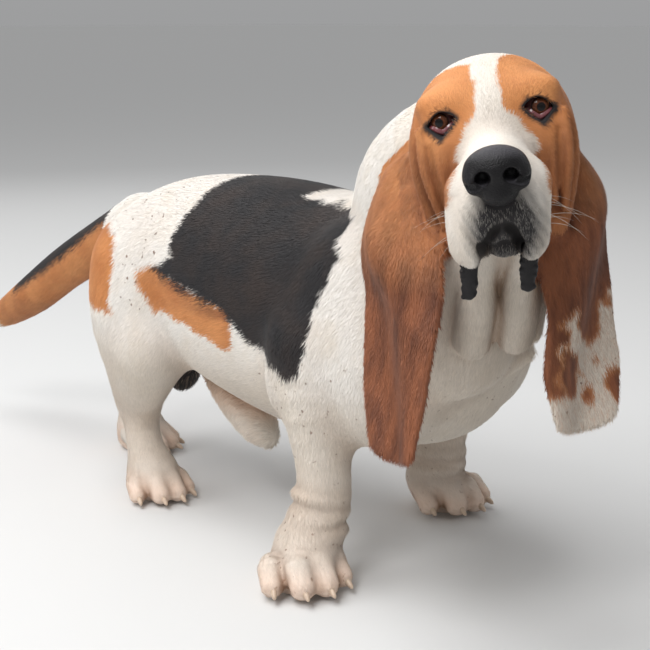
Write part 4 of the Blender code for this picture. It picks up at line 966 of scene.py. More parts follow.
# %% Bare and dark skin
def bare_and_dark(p):
    """Bare or thinly haired skin at feet and groin, with painted shade deep in the groin; dark rims of eyes and
    mouth, and the smoky muzzle.
    """
    left, up, ahead = in_head(p).T
    x, y, z = p.T
    toes = 0.10 + np.clip((0.040 - z) / 0.020, 0, 1) * 0.35
    toes = np.where((z < 0.15) & (np.abs(x) > 0.02), toes * np.clip((0.15 - z) / 0.05, 0, 1), 0)
    groin = mask_of(0.045 - np.hypot(x, (z - 0.165) * 0.9), 0.03) * ((y > 0.16) & (y < 0.36))
    bare = np.maximum(toes, 0.75 * groin)
    # Deep in the groin, between the hind legs, the skin is painted darker: painted shade
    dark = 0.45 * groin * np.clip((y - 0.20) / 0.04, 0, 1) * np.clip((z - 0.125) / 0.03, 0, 1)
    for side in (-1, 1):
        # The liner is thickest below and at the two corners
        slit, _, _ = lid_slit(side)
        middle, axes = eye_axes(side)
        out, above, _ = ((p - middle) @ axes.T).T
        close = np.linalg.norm(p - middle, axis=1) < 0.026
        broad = 0.0020 + 0.0018 * (above < 0.002) + 0.0020 * np.clip((np.abs(out) - 0.007) / 0.004, 0, 1)
        dark = np.maximum(dark, close * np.clip(1.6 - np.abs(slit(p)) / broad, 0, 1))
    dark = np.maximum(dark, mask_of(0.0035 - mouth[0](p), 0.006) * (ahead > 0.02))
    # Smoky hair under the nose and round the mouth, fading to white on the flews
    smoke = np.hypot((left - 0.001) / 0.0275, (up + 0.078) / 0.034) + 0.05 * np.sin(900 * left + 400 * up)
    dark = np.maximum(dark, np.clip((1.30 - smoke) / 0.58, 0, 1) * (ahead > 0.040) * (up < -0.044))
    pouch = np.linalg.norm((p - POUCH_PLACE) / (0.030, 0.028, 0.040), axis=1)
    return bare, np.maximum(dark, mask_of(1.0 - pouch, 0.3) * (z < 0.175))


def markings(p):
    """All masks at the given places of the skin."""
    _, y, z = p.T
    off_ear, ear_side = ear_of(p)
    on_ear = mask_of(0.0035 - off_ear, 0.003) * (off_ear < 0.02)
    of_head, tan, brown = head_tan(p)
    tan, brown, black = saddle_and_tan(p, tan, brown)
    tan, chestnut, black = tail_and_ears(p, tan, brown, black, on_ear, ear_side)
    bare, dark = bare_and_dark(p)
    tick = np.clip((y - 0.20) / 0.05, 0, 1) * (z > 0.24) + ((z < 0.24) & (y < 0.09)) * 0.8 + 0.9 * (on_ear > 0.5)
    # The white is creamier and darker on the legs, the belly, the chest, the throat and the muzzle: the coat's own
    # cream, and on the lower and forward parts painted shade as well
    cream = np.maximum(0.60 * np.clip((0.225 - z) / 0.05, 0, 1) * np.clip(z / 0.06, 0, 1), 0.35 * of_head)
    cream = np.maximum(cream, 0.75 * np.clip((-0.07 - y) / 0.05, 0, 1) * np.clip((0.385 - z) / 0.05, 0, 1))
    return {"tan": tan, "black": black, "chestnut": chestnut, "cream": cream, "bare": bare, "dark": dark,
            "tick": np.clip(tick, 0, 1)}


saddle_masks = markings(np.array([(-0.1, 0.1, 0.3)]))
print("masks at the saddle's middle:", {name: round(float(values[0]), 2) for name, values in saddle_masks.items()})

# %% Masks on the skin
def keep_masks(mesh, masks):
    for name, values in masks.items():
        layer = mesh.attributes.new(name, "FLOAT", "POINT")
        layer.data.foreach_set("value", np.asarray(values, np.float32))


def painted_shade_of_folds(p, normals):
    """How deep in a fold each place lies, and so how much shade is painted there. Above an open place, the clay is
    as far off as the step.
    """
    depth = [1 - skin_field(p + normals * step) / step for step in (0.005, 0.012)]
    return np.clip(1.3 * depth[0], 0, 1) * 0.5 + np.clip(1.2 * depth[1], 0, 1) * 0.5


skin_points = points_of(skin_mesh)
skin_mesh.update()
skin_normals = np.empty(len(skin_points) * 3)
skin_mesh.vertex_normals.foreach_get("vector", skin_normals)
skin_normals = skin_normals.reshape(-1, 3)
skin_masks = markings(skin_points)
# The folds of the skin get painted shade
skin_masks["crease"] = painted_shade_of_folds(skin_points, skin_normals)
keep_masks(skin_mesh, skin_masks)
print({name: round(float(values.mean()), 3) for name, values in skin_masks.items()})

# %% [markdown]
# ## Coat and skin finish
# One recipe colours the skin and the hair on it. Noise frays the edge of each marking and varies
# each colour, as real hairs differ. The same recipe on both keeps a thin place in the coat from
# showing as a spot of another colour. The roughness is high, with a little sheen for the gloss of
# short hair, and a fine bump stands for hairs too small to build.

# %% Colours
COLOURS = {
    # The cream is darker than the white, as it also stands for painted shade
    "white": (0.83, 0.795, 0.745), "pale cream": (0.79, 0.73, 0.65), "cream": (0.66, 0.575, 0.475),
    "tan": (0.66, 0.285, 0.100), "deep tan": (0.50, 0.180, 0.054), "chestnut": (0.285, 0.098, 0.042),
    "deep chestnut": (0.135, 0.044, 0.021),
    "black": (0.017, 0.0155, 0.017), "brown black": (0.034, 0.024, 0.021), "pink": (0.85, 0.57, 0.40),
    "dark": (0.017, 0.015, 0.016), "grey": (0.28, 0.19, 0.145),
}
# The deepest folds are multiplied by this colour: painted shade
SHADE_IN_FOLDS = (0.54, 0.42, 0.34)
print("coat colours:", ", ".join(COLOURS))

# %% Node helpers
def add_node(tree, kind, inputs=(), **settings):
    """Adds a node. Each input is a number, a colour or another node's output."""
    made = tree.nodes.new(kind)
    for key, value in settings.items():
        setattr(made, key, value)
    for key, value in dict(inputs).items():
        if isinstance(value, bpy.types.NodeSocket):
            tree.links.new(value, made.inputs[key])
        else:
            made.inputs[key].default_value = value
    return made


def new_material(name, rough, **more):
    material = bpy.data.materials.new(name)
    material.use_nodes = True
    shader = material.node_tree.nodes["Principled BSDF"]
    shader.inputs["Roughness"].default_value = rough
    for key, value in more.items():
        shader.inputs[key.replace("_", " ")].default_value = value
    return material, material.node_tree, shader


def noise_of(tree, scale, detail, stretch=None):
    where = add_node(tree, "ShaderNodeTexCoord").outputs["Object"]
    if stretch:
        where = add_node(tree, "ShaderNodeMapping", {"Vector": where, "Scale": stretch}).outputs[0]
    noise = add_node(tree, "ShaderNodeTexNoise", {"Vector": where, "Scale": scale, "Detail": detail})
    return noise.outputs["Fac"]


def mix_of(tree, amount, one, two):
    mix = add_node(tree, "ShaderNodeMix", data_type="RGBA")
    for key, value in ((0, amount), (6, one), (7, two)):
        if isinstance(value, bpy.types.NodeSocket):
            tree.links.new(value, mix.inputs[key])
        else:
            mix.inputs[key].default_value = (*value, 1) if key else value
    return mix.outputs[2]


def ranged(tree, value, low, high, to_low=0.0, to_high=1.0):
    return add_node(tree, "ShaderNodeMapRange", {"Value": value, "From Min": low, "From Max": high,
                                                 "To Min": to_low, "To Max": to_high}).outputs[0]


def times(tree, one, two):
    return add_node(tree, "ShaderNodeVectorMath", {0: one, 1: two}, operation="MULTIPLY").outputs[0]


def attribute_of(tree, name):
    return add_node(tree, "ShaderNodeAttribute", attribute_name=name).outputs["Fac"]


def frayed(tree, name, fray):
    """A mask whose edge is broken up by noise, and which stays whole well inside the edge."""
    shifted = add_node(tree, "ShaderNodeMath", {0: attribute_of(tree, name), 1: 2.0, 2: fray},
                       operation="MULTIPLY_ADD").outputs[0]
    return ranged(tree, shifted, 1.0, 2.0)


def bumped(tree, shader, height, strength, distance):
    bump = add_node(tree, "ShaderNodeBump", {"Height": height, "Strength": strength, "Distance": distance})
    tree.links.new(bump.outputs[0], shader.inputs["Normal"])


def paint(tree, shader, colour):
    tree.links.new(colour, shader.inputs["Base Color"])


helpers = (add_node, new_material, noise_of, mix_of, ranged, times, attribute_of, frayed, bumped, paint)
print("node helpers:", ", ".join(helper.__name__ for helper in helpers))

# %% The coat recipe
def coat_colour(tree):
    broad = noise_of(tree, 26, 3.0)
    fray = noise_of(tree, 190, 4.0)
    colour = mix_of(tree, ranged(tree, broad, 0.45, 0.75), COLOURS["white"], COLOURS["pale cream"])
    # Cream, with painted shade on the lower and forward parts
    colour = mix_of(tree, attribute_of(tree, "cream"), colour, COLOURS["cream"])
    speck = add_node(tree, "ShaderNodeMath", {0: ranged(tree, noise_of(tree, 170, 1.0), 0.70, 0.76),
                                              1: attribute_of(tree, "tick")}, operation="MULTIPLY").outputs[0]
    colour = mix_of(tree, speck, colour, COLOURS["grey"])
    tan = mix_of(tree, ranged(tree, broad, 0.38, 0.78), COLOURS["tan"], COLOURS["deep tan"])
    colour = mix_of(tree, frayed(tree, "tan", fray), colour, tan)
    # The ears' hair is streaked downwards
    streak = noise_of(tree, 70, 3.0, stretch=(1.0, 1.0, 0.22))
    chestnut = mix_of(tree, ranged(tree, streak, 0.38, 0.68), COLOURS["chestnut"], COLOURS["deep chestnut"])
    # Chestnut, with painted shade below the eyes and down the ears
    colour = mix_of(tree, attribute_of(tree, "chestnut"), colour, chestnut)
    black = mix_of(tree, ranged(tree, broad, 0.4, 0.7), COLOURS["black"], COLOURS["brown black"])
    colour = mix_of(tree, frayed(tree, "black", fray), colour, black)
    colour = mix_of(tree, attribute_of(tree, "bare"), colour, COLOURS["pink"])
    # Dark skin and hair, and painted shade deep in the groin
    colour = mix_of(tree, attribute_of(tree, "dark"), colour, COLOURS["dark"])
    # Painted shade in the folds
    painted_fold_colour = mix_of(tree, attribute_of(tree, "crease"), (1, 1, 1), SHADE_IN_FOLDS)
    return times(tree, colour, painted_fold_colour)


skin_finish, tree, shader = new_material("short coat and skin", 0.75, Sheen_Weight=0.05, Specular_IOR_Level=0.3)
paint(tree, shader, coat_colour(tree))
bumped(tree, shader, noise_of(tree, 900, 2.0), 0.35, 0.0006)
print("the coat's recipe has", len(tree.nodes), "nodes")

# %% [markdown]
# ## The skin as a piece
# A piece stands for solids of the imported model: it names them, so that they aren't shown twice.
# Each solid could have a skin of its own, but then the cuts between them would show. The whole
# dog is one stiff body, so every piece rides on the same one.

# %% The skin piece
def piece_of(name, mesh, material, nodes=()):
    """Makes a piece of the dog from a mesh in the design's own place."""
    obj = bpy.data.objects.new(name, mesh)
    bpy.context.collection.objects.link(obj)
    co = points_of(mesh) + SHIFT
    mesh.vertices.foreach_set("co", co.ravel())
    mesh.update()
    mesh.materials.append(material)
    mesh.shade_smooth()
    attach(obj, "root")
    if nodes:
        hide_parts(*nodes)
    return obj


# The tufts grow on the skin's triangles
skin_mesh.calc_loop_triangles()
triangles = np.empty(len(skin_mesh.loop_triangles) * 3, int)
skin_mesh.loop_triangles.foreach_get("vertices", triangles)
triangles = triangles.reshape(-1, 3)
flesh = ["head", "neck", "torso", "tail", "ear_left", "ear_right", "sheath", "scrotum"]
flesh += [f"{end}_{part}_{side}" for end in ("front", "hind") for part in ("leg", "paw")
          for side in ("left", "right")]
piece_of("skin", skin_mesh, skin_finish, flesh)
print("skin stands for", len(flesh), "solids,", len(triangles), "triangles")

# %% [markdown]
# ## Small tubes
# Claws and whiskers are tubes that follow a line and thin along it. A curve with a bevel would do,
# but rings joined by quads give closed ends and a width at each ring.

# %% Tube helper
def tube_mesh(name, line, radii, sides, squash=1.0):
    """A closed tube round a line. squash above 1 makes it taller than wide."""
    line = np.asarray(line, float)
    ways = unit(np.gradient(line, axis=0))
    aside = unit(np.cross(ways, (0, 0, 1)))
    above = unit(np.cross(aside, ways))
    angles = np.linspace(0, 2 * math.pi, sides, endpoint=False)
    points = [c + r * (math.cos(a) * s + squash * math.sin(a) * w)
              for c, r, s, w in zip(line, radii, aside, above) for a in angles]
    faces = [tuple(range(sides))[::-1], tuple(range((len(line) - 1) * sides, len(line) * sides))]
    for k in range(len(line) - 1):
        for j in range(sides):
            a, b = k * sides + j, k * sides + (j + 1) % sides
            faces.append((a, b, b + sides, a + sides))
    mesh = mesh_of(name, points, faces)
    bm = bmesh.new()
    bm.from_mesh(mesh)
    bmesh.ops.recalc_face_normals(bm, faces=bm.faces)
    bm.to_mesh(mesh)
    bm.free()
    return mesh


trial = tube_mesh("trial", [(0, 0, 0), (0.01, 0, 0)], [0.001, 0.001], 8)
print("a tube of two rings of eight has", len(trial.polygons), "faces")
bpy.data.meshes.remove(trial)

# %% [markdown]
# ## Eyes
# A basset's eyes are brown and soft, with a dark rim and the red inner lid showing below. The
# eyeball is a fine sphere whose colours are rings round the line of sight, and its front bulges
# into a cornea. A painted picture of an iris could be wrapped on, but rings need no picture. A
# clear coat gives the wet gloss.

# %% Eye finish
IRIS_RADIUS, PUPIL_RADIUS = 0.0072, 0.0033
# The rings are coloured out to this distance from the line of sight
RING_REACH = 0.012
CORNEA_RADIUS, CORNEA_RISE = 0.0078, 0.0007
eye_finish, tree, shader = new_material("wet eye", 0.55, Specular_IOR_Level=0.05, Coat_Weight=0.7,
                                        Coat_Roughness=0.02, Coat_IOR=1.36)
ring = ranged(tree, attribute_of(tree, "ring"), 0.0, RING_REACH)
ramp = add_node(tree, "ShaderNodeValToRGB", {"Fac": ring})
pupil_edge, iris_edge = PUPIL_RADIUS / RING_REACH, IRIS_RADIUS / RING_REACH
stops = [(0.0, (0.004, 0.003, 0.003)), (pupil_edge, (0.005, 0.003, 0.003)),
         (pupil_edge + 0.05, (0.105, 0.030, 0.011)), (iris_edge - 0.08, (0.072, 0.022, 0.009)),
         (iris_edge, (0.006, 0.003, 0.003)), (iris_edge + 0.06, (0.075, 0.032, 0.030)),
         (0.85, (0.13, 0.035, 0.035))]
while len(ramp.color_ramp.elements) < len(stops):
    ramp.color_ramp.elements.new(0.5)
for element, (place, colour) in zip(ramp.color_ramp.elements, stops):
    element.position = place
    element.color = (*colour, 1)
fibres = ranged(tree, noise_of(tree, 900, 3.0), 0.3, 0.7, 0.7, 1.25)
paint(tree, shader, times(tree, ramp.outputs["Color"], fibres))
print("iris", 2 * IRIS_RADIUS, "across, pupil", 2 * PUPIL_RADIUS, "in", len(stops), "rings")

# %% Eyeballs
def make_eye(side):
    middle, axes = eye_axes(side)
    bm = bmesh.new()
    bmesh.ops.create_uvsphere(bm, u_segments=48, v_segments=32, radius=EYE_RADIUS - 0.0001)
    mesh = bpy.data.meshes.new("eyeball")
    bm.to_mesh(mesh)
    bm.free()
    local = points_of(mesh)
    ring = np.hypot(local[:, 0], local[:, 1]) + (local[:, 2] < 0) * RING_REACH
    local[:, 2] += (local[:, 2] > 0) * CORNEA_RISE * np.clip(1 - (ring / CORNEA_RADIUS) ** 2, 0, 1)
    co = middle + local @ axes
    mesh.vertices.foreach_set("co", co.ravel())
    keep_masks(mesh, {"ring": ring})
    if np.linalg.det(axes) < 0:
        mesh.flip_normals()
    word = SIDE_NAMES[side]
    return piece_of("eyeball_" + word, mesh, eye_finish, ["eye_" + word])


for side in (-1, 1):
    print(make_eye(side).name, 2 * EYE_RADIUS, "across")

# %% Inner lids
haw_finish, tree, shader = new_material("wet red inner lid", 0.30, Coat_Weight=0.6, Coat_Roughness=0.1)
paint(tree, shader, mix_of(tree, noise_of(tree, 700, 2.0), (0.13, 0.024, 0.030), (0.26, 0.072, 0.080)))


def make_haw(side):
    """The red inner lid: a wet shelf from the eyeball out to the edge of the sagging lower lid."""
    middle, axes = eye_axes(side)
    steps, rows = 25, 9
    points = []
    for t in np.linspace(-0.97, 0.97, steps):
        out = t * LID_HALF_WIDTH - LID_SHIFT
        rim = -LOWER_LID_BOW * (1 - abs(t) ** LOWER_LID_POWER) - LID_SLANT * out
        start = rim + 0.0052 * (1 - abs(t) ** 2.2) * (1.0 - 0.25 * side * t)
        for v in np.linspace(0, 1, rows):
            up = start + (rim - 0.0012 - start) * v
            on_ball = math.sqrt(max((EYE_RADIUS + 0.0002) ** 2 - out**2 - start**2, 1e-8))
            at_lid = math.sqrt(max((EYE_RADIUS + 0.6 * LID_THICKNESS) ** 2 - out**2 - up**2, 1e-8))
            ahead = on_ball + (at_lid - on_ball) * v**1.5 + 0.0007 * math.sin(math.pi * v)
            points.append(middle + np.array([out, up, ahead]) @ axes)
    starts = [i * rows + j for i in range(steps - 1) for j in range(rows - 1)]
    mesh = mesh_of("inner lid", points, [(a, a + 1, a + rows + 1, a + rows) for a in starts])
    return piece_of("inner_lid_" + SIDE_NAMES[side], mesh, haw_finish)


for side in (-1, 1):
    print(make_haw(side).name, "follows the lower lid")

# %% [markdown]
# ## Nose and lips
# The nose leather is a broad moist pad with a nostril each side, a comma-shaped slit behind each,
# and a groove below. It is clay again, on its own finer grid. Its surface is pebbled, which a
# Voronoi bump gives. The bare lip flaps hang from the corners of the flews.

# %% Nose clay
nose_clay = [(ball(on_head(0, -0.030, 0.087), (0.0246, 0.0172, 0.0190), HEAD), 0.005, 1),
             (ball(on_head(0, -0.047, 0.086), (0.0150, 0.0125, 0.0165), HEAD), 0.006, 1)]
for side in (-1, 1):
    nose_clay.append((ball(on_head(side * 0.0160, -0.0370, 0.0895), (0.0098, 0.0112, 0.0140), HEAD), 0.004, 1))
for side in (-1, 1):
    hole = [on_head(side * 0.0100, -0.0345, 0.1110), on_head(side * 0.0110, -0.0350, 0.0940)]
    slit = [on_head(side * 0.0125, -0.0380, 0.1030), on_head(side * 0.0190, -0.0408, 0.0990),
            on_head(side * 0.0245, -0.0400, 0.0905)]
    nose_clay += [(rod(hole, [0.0068, 0.0046]), 0.002, -1), (rod(slit, [0.0044, 0.0040, 0.0030]), 0.002, -1)]
nose_clay.append((rod([on_head(0, -0.040, 0.1080), on_head(0, -0.062, 0.1030)], [0.0011, 0.0016]), 0.0015, -1))
print(len(nose_clay), "lumps and hollows in the nose")

# %% Nose leather
NOSE_CELL, FLAP_CELL = 0.0010, 0.0009


def clay_piece(name, clay, low, high, cell, material, nodes):
    """A small piece of clay as a mesh: closed, smooth, and moved onto its true surface."""
    def field(p):
        return field_of(clay, p)

    values, start = sampled(field, low, high, cell)
    mesh = mesh_of(name, *surface_of(values, start, cell))
    for _ in range(2):
        mesh.vertices.foreach_set("co", onto_surface(field, points_of(mesh), cell / 3).ravel())
    return piece_of(name, mesh, material, nodes)


leather, tree, shader = new_material("nose leather", 0.40, Specular_IOR_Level=0.22)
dark_leather = mix_of(tree, noise_of(tree, 160, 3.0), (0.004, 0.0035, 0.004), (0.010, 0.009, 0.010))
# Where it faces upwards it is painted lighter and greyer: painted light from above
normal = add_node(tree, "ShaderNodeNewGeometry").outputs["Normal"]
facing = add_node(tree, "ShaderNodeSeparateXYZ", {0: normal}).outputs["Z"]
painted_top_light = mix_of(tree, noise_of(tree, 420, 3.0), (0.036, 0.034, 0.039), (0.095, 0.091, 0.101))
paint(tree, shader, mix_of(tree, ranged(tree, facing, 0.45, 1.0), dark_leather, painted_top_light))
where = add_node(tree, "ShaderNodeTexCoord").outputs["Object"]
pebbles = add_node(tree, "ShaderNodeTexVoronoi", {"Vector": where, "Scale": 850.0}, feature="F1")
bumped(tree, shader, pebbles.outputs["Distance"], 0.6, 0.0007)
nose_middle = on_head(0, -0.035, 0.09)
nose = clay_piece("nose_leather", nose_clay, nose_middle - 0.04, nose_middle + 0.04, NOSE_CELL, leather, ["nose"])
print("nose", len(nose.data.vertices), "points")

# %% Lip flaps
KNOBS = 26
lip_finish, tree, shader = new_material("dark lip", 0.38, Specular_IOR_Level=0.25)
paint(tree, shader, mix_of(tree, noise_of(tree, 220, 3.0), (0.005, 0.0045, 0.005), (0.016, 0.014, 0.015)))
bumped(tree, shader, noise_of(tree, 600, 3.0), 0.5, 0.0008)
knob_rng = np.random.default_rng(5)
for side, word in SIDE_NAMES.items():
    top = on_head(side * 0.0235 + FLEW_SWING - 0.001, -0.102, 0.048)
    line = [top, top + (0.0, 0.0, -0.018) - AHEAD * 0.002, top + (0.0, 0.0, -0.031) - AHEAD * 0.003]
    way = LEFT * 0.25 * side + AHEAD * 0.97
    clay = [(rod(line, [0.0072, 0.0066, 0.0050], flat=0.55, flat_along=way), 0.001, 1)]
    # Its edge is ragged: small knobs stand out from it
    for _ in range(KNOBS):
        t, turn = knob_rng.random(), knob_rng.choice((-1, 1))
        place = line[0] + (line[2] - line[0]) * (0.15 + 0.95 * t) + LEFT * turn * (0.0062 - 0.0022 * t)
        place = place + AHEAD * knob_rng.uniform(-0.002, 0.002)
        clay.append((ball(place, (knob_rng.uniform(0.0012, 0.0024),) * 3), 0.0012, 1))
    low, high = clay[0][0][1] - 0.006, clay[0][0][2] + 0.006
    clay_piece("lip_flap_" + word, clay, low, high, FLAP_CELL, lip_finish, ["lip_" + word])
print(len(SIDE_NAMES), "lip flaps with", KNOBS, "knobs each")

# %% [markdown]
# ## Claws
# Each toe ends in a short blunt claw of pale horn, a little curved. A cone would be too straight, so
# each is a tube that bends down and thins. Noise in its colour and a fine bump keep it from shining
# like glass.

# %% Claws
CLAW_LENGTH, CLAW_RADIUS = 0.019, 0.0040
horn, tree, shader = new_material("claw horn", 0.38, Coat_Weight=0.2, Coat_Roughness=0.3)
paint(tree, shader, mix_of(tree, noise_of(tree, 260, 3.0), (0.68, 0.54, 0.42), (0.42, 0.30, 0.21)))
bumped(tree, shader, noise_of(tree, 500, 2.0), 0.3, 0.0004)
for foot in FEET:
    for number, (place, half, high, way) in enumerate(toe_middles(foot), 1):
        root = place + way * (half * 0.55) + np.array([0, 0, high * 0.33])
        t = np.linspace(0, 1, 12)[:, None]
        line = root + way * CLAW_LENGTH * t + np.array([0, 0, -0.006]) * t**1.6
        radii = 0.97 * CLAW_RADIUS * (1 - 0.45 * t[:, 0] ** 1.5) * np.sqrt(np.clip(1.04 - t[:, 0] ** 8, 0, 1))
        claw = tube_mesh("claw", line, radii, 14, 1.15)
        piece_of(f"horn_{foot}_{number}", claw, horn, [f"claw_{foot}_{number}"])
print("claws", len(TOES) * len(FEET))

# %% [markdown]
# ## The lie of the coat
# Hair lies along the body: back from the nose, down the ears, chest and legs, and back along the
# flanks. Particle hair can be combed by hand in the viewport, but a script needs it as rules. Here
# a short list of combing strokes, each a place and a direction, is blended by nearness, and the
# result is laid flat on the skin.

# %% Combing strokes
BACKWARDS = -AHEAD
# Each stroke is a place and the way the hair lies there
COMBING = [
    (on_head(0, 0.04, -0.04), BACKWARDS), (on_head(0, 0.02, 0.0), BACKWARDS + 0.5 * UP),
    (on_head(0, -0.02, 0.06), BACKWARDS + 0.2 * UP), (on_head(0, -0.065, 0.090), -UP),
    (on_head(0, 0.03, -0.11), BACKWARDS - 0.5 * UP),
    ((-0.02, 0.0, 0.42), (0.25, 0.6, -0.7)), ((0.03, -0.05, 0.36), (0.3, 0.5, -0.8)),
    ((-0.12, -0.06, 0.37), (-0.1, 0.6, -0.8)), ((-0.10, -0.20, 0.34), (0, 0.1, -1)),
    ((-0.08, -0.16, 0.25), (0, 0.25, -1)), ((0, -0.10, 0.16), (0, 0.6, -0.8)),
    ((0, 0.05, 0.38), (0, 1, -0.05)), ((0, 0.20, 0.39), (0, 1, 0)),
    ((0, 0.35, 0.36), (0, 1, -0.4)), ((0, 0.42, 0.30), (0, 0.9, -0.45)),
    ((0, 0.60, 0.21), (0, 0.87, -0.5)), ((0, 0.74, 0.14), (0, 0.95, -0.3)),
    ((0, 0.10, 0.11), (0, 1, 0.05)), ((0, 0.30, 0.17), (0, 1, 0.1)),
]
for side in (-1, 1):
    COMBING += [
        (on_head(side * 0.03, -0.05, 0.06), BACKWARDS - 0.7 * UP + 0.2 * side * LEFT),
        (on_head(side * 0.03, -0.10, 0.04), -UP + 0.3 * BACKWARDS),
        (on_head(side * 0.05, 0.03, -0.01), BACKWARDS + 0.6 * UP + 0.3 * side * LEFT),
        (on_head(side * 0.06, -0.02, -0.01), -UP + 0.5 * BACKWARDS + 0.2 * side * LEFT),
        (on_head(side * 0.06, -0.07, -0.02), -UP + 0.4 * BACKWARDS),
        (on_head(side * 0.06, 0.01, -0.07), BACKWARDS - 0.8 * UP + 0.3 * side * LEFT),
        (EAR_SHAPE[side][0][1], (0, 0, -1)), (EAR_SHAPE[side][0][3], (0, 0, -1)),
        (EAR_SHAPE[side][0][5], (0, 0, -1)),
        ((side * 0.12, -0.03, 0.28), (0, 0.45, -0.9)), ((side * 0.12, 0.0, 0.21), (0, 0.3, -1)),
        ((side * 0.115, 0.10, 0.28), (0, 0.95, -0.35)), ((side * 0.115, 0.20, 0.30), (0, 0.95, -0.35)),
        ((side * 0.10, 0.10, 0.17), (0, 0.95, -0.2)), ((side * 0.11, 0.30, 0.27), (0, 0.6, -0.8)),
        ((side * 0.10, 0.36, 0.24), (0, 0.35, -0.95)), ((side * 0.06, 0.40, 0.30), (0, 0.6, -0.8)),
    ]
for foot, ((x, y), _) in FEET.items():
    ahead = foot_frame(foot)[2]
    COMBING += [((x, y, 0.14), (0, 0, -1)), ((x, y + 0.01, 0.07), (0, 0, -1)),
                (np.array((x, y, 0.045)) + ahead * 0.02, ahead - (0, 0, 0.6)),
                (np.array((x, y, 0.02)) + ahead * 0.04, ahead - (0, 0, 0.4))]


def lie_of_coat(p, normals):
    """The way the hair lies at each place: nearby strokes blended, and laid flat on the skin."""
    total = np.zeros_like(p)
    for place, way in COMBING:
        far = ((p - place) ** 2).sum(1) + 0.0002
        total += unit(way) / far[:, None] ** 2
    flat = total - (total * normals).sum(1, keepdims=True) * normals
    return flat / np.maximum(np.linalg.norm(flat, axis=1, keepdims=True), 1e-12)


print(len(COMBING), "combing strokes")

# %% [markdown]
# ## Tufts
# The short coat is built as small flat blades, each standing for a few hairs that lie together. A
# particle system would be quicker to set up, but it doesn't survive the export as solid shapes.
# Each blade has a root on the skin, a middle and a tip, three triangles in all, and lies almost
# flat, so that it catches the light as the skin does and still breaks up the outline.

# %% Regions of the coat
REGIONS = ("face", "ears", "neck", "trunk", "legs", "paws", "tail")
LENGTHS = dict(zip(REGIONS, (0.0042, 0.0068, 0.0085, 0.0080, 0.0060, 0.0038, 0.0130)))
WIDTHS = dict(zip(REGIONS, (0.00048, 0.00068, 0.00080, 0.00085, 0.00070, 0.00050, 0.0010)))
PER_CM2 = dict(zip(REGIONS, (105, 52, 40, 34, 50, 80, 40)))
rng = np.random.default_rng(11)


def coat_region(p):
    """The name of the part of the coat that each place belongs to."""
    left, up, ahead = in_head(p).T
    x, y, z = p.T
    region = np.full(len(p), "trunk", dtype="U6")
    region[(y < -0.02) & (z > 0.20) & (ahead > -0.26)] = "neck"
    region[(ahead > -0.125) & (up > -0.13) & (np.abs(left) < 0.08) & (z > 0.34)] = "face"
    region[(z < 0.205) & ((y < 0.09) | (y > 0.24)) & (np.abs(x) > 0.035)] = "legs"
    region[z < 0.052] = "paws"
    region[(y > 0.45) & (np.abs(x) < 0.06) & (z > 0.10)] = "tail"
    region[ear_of(p)[0] < 0.0065] = "ears"
    return region


print("hair lengths:", LENGTHS)

# %% Places for tufts
corners = skin_points[triangles]
areas = np.linalg.norm(np.cross(corners[:, 1] - corners[:, 0], corners[:, 2] - corners[:, 0]), axis=1) / 2
density = np.vectorize(PER_CM2.get)(coat_region(corners.mean(1))) * 1e4
wanted = areas * density
count = np.floor(wanted + rng.random(len(wanted))).astype(int)
on_triangle = np.repeat(np.arange(len(triangles)), count)
u, v = rng.random((2, len(on_triangle)))
over = u + v > 1
u[over], v[over] = 1 - u[over], 1 - v[over]
share = np.stack([1 - u - v, u, v], 1)[:, :, None]
roots = (corners[on_triangle] * share).sum(1)
root_normals = unit((skin_normals[triangles[on_triangle]] * share).sum(1))
region = coat_region(roots)
masks = markings(roots)
# Each tuft takes the painted shade of the fold it grows in
masks["crease"] = (skin_masks["crease"][triangles[on_triangle]] * share[:, :, 0]).sum(1)
print(len(roots), "places for tufts")

# %% Where no hair grows
def bare_place(p):
    """No hair inside the lids, under the nose leather, in the mouth, or under the feet."""
    bare = p[:, 2] < 0.004
    for side in (-1, 1):
        middle, axes = eye_axes(side)
        out, up, ahead = ((p - middle) @ axes.T).T
        ball_gap = np.linalg.norm(p - middle, axis=1) - EYE_RADIUS
        slit = lid_slit(side)[0](p)
        bare |= (ball_gap < 0.0012) | ((slit < 0.0014) & (ahead > 0) & (ball_gap < 0.010))
    bare |= field_of(nose_clay, p) < 0.0006
    return bare | (mouth[0](p) < 0.0012)


keep = ~bare_place(roots) & (rng.random(len(roots)) > 0.75 * masks["bare"])
roots, root_normals, region = roots[keep], root_normals[keep], region[keep]
masks = {name: values[keep] for name, values in masks.items()}
print(len(roots), "tufts grow")

# %% Tuft shapes
MOST_TUFTS = 64000
TUFT_POINTS = 5
# How far the hairs stray from the lie of the coat, in radians
STRAY = 0.16


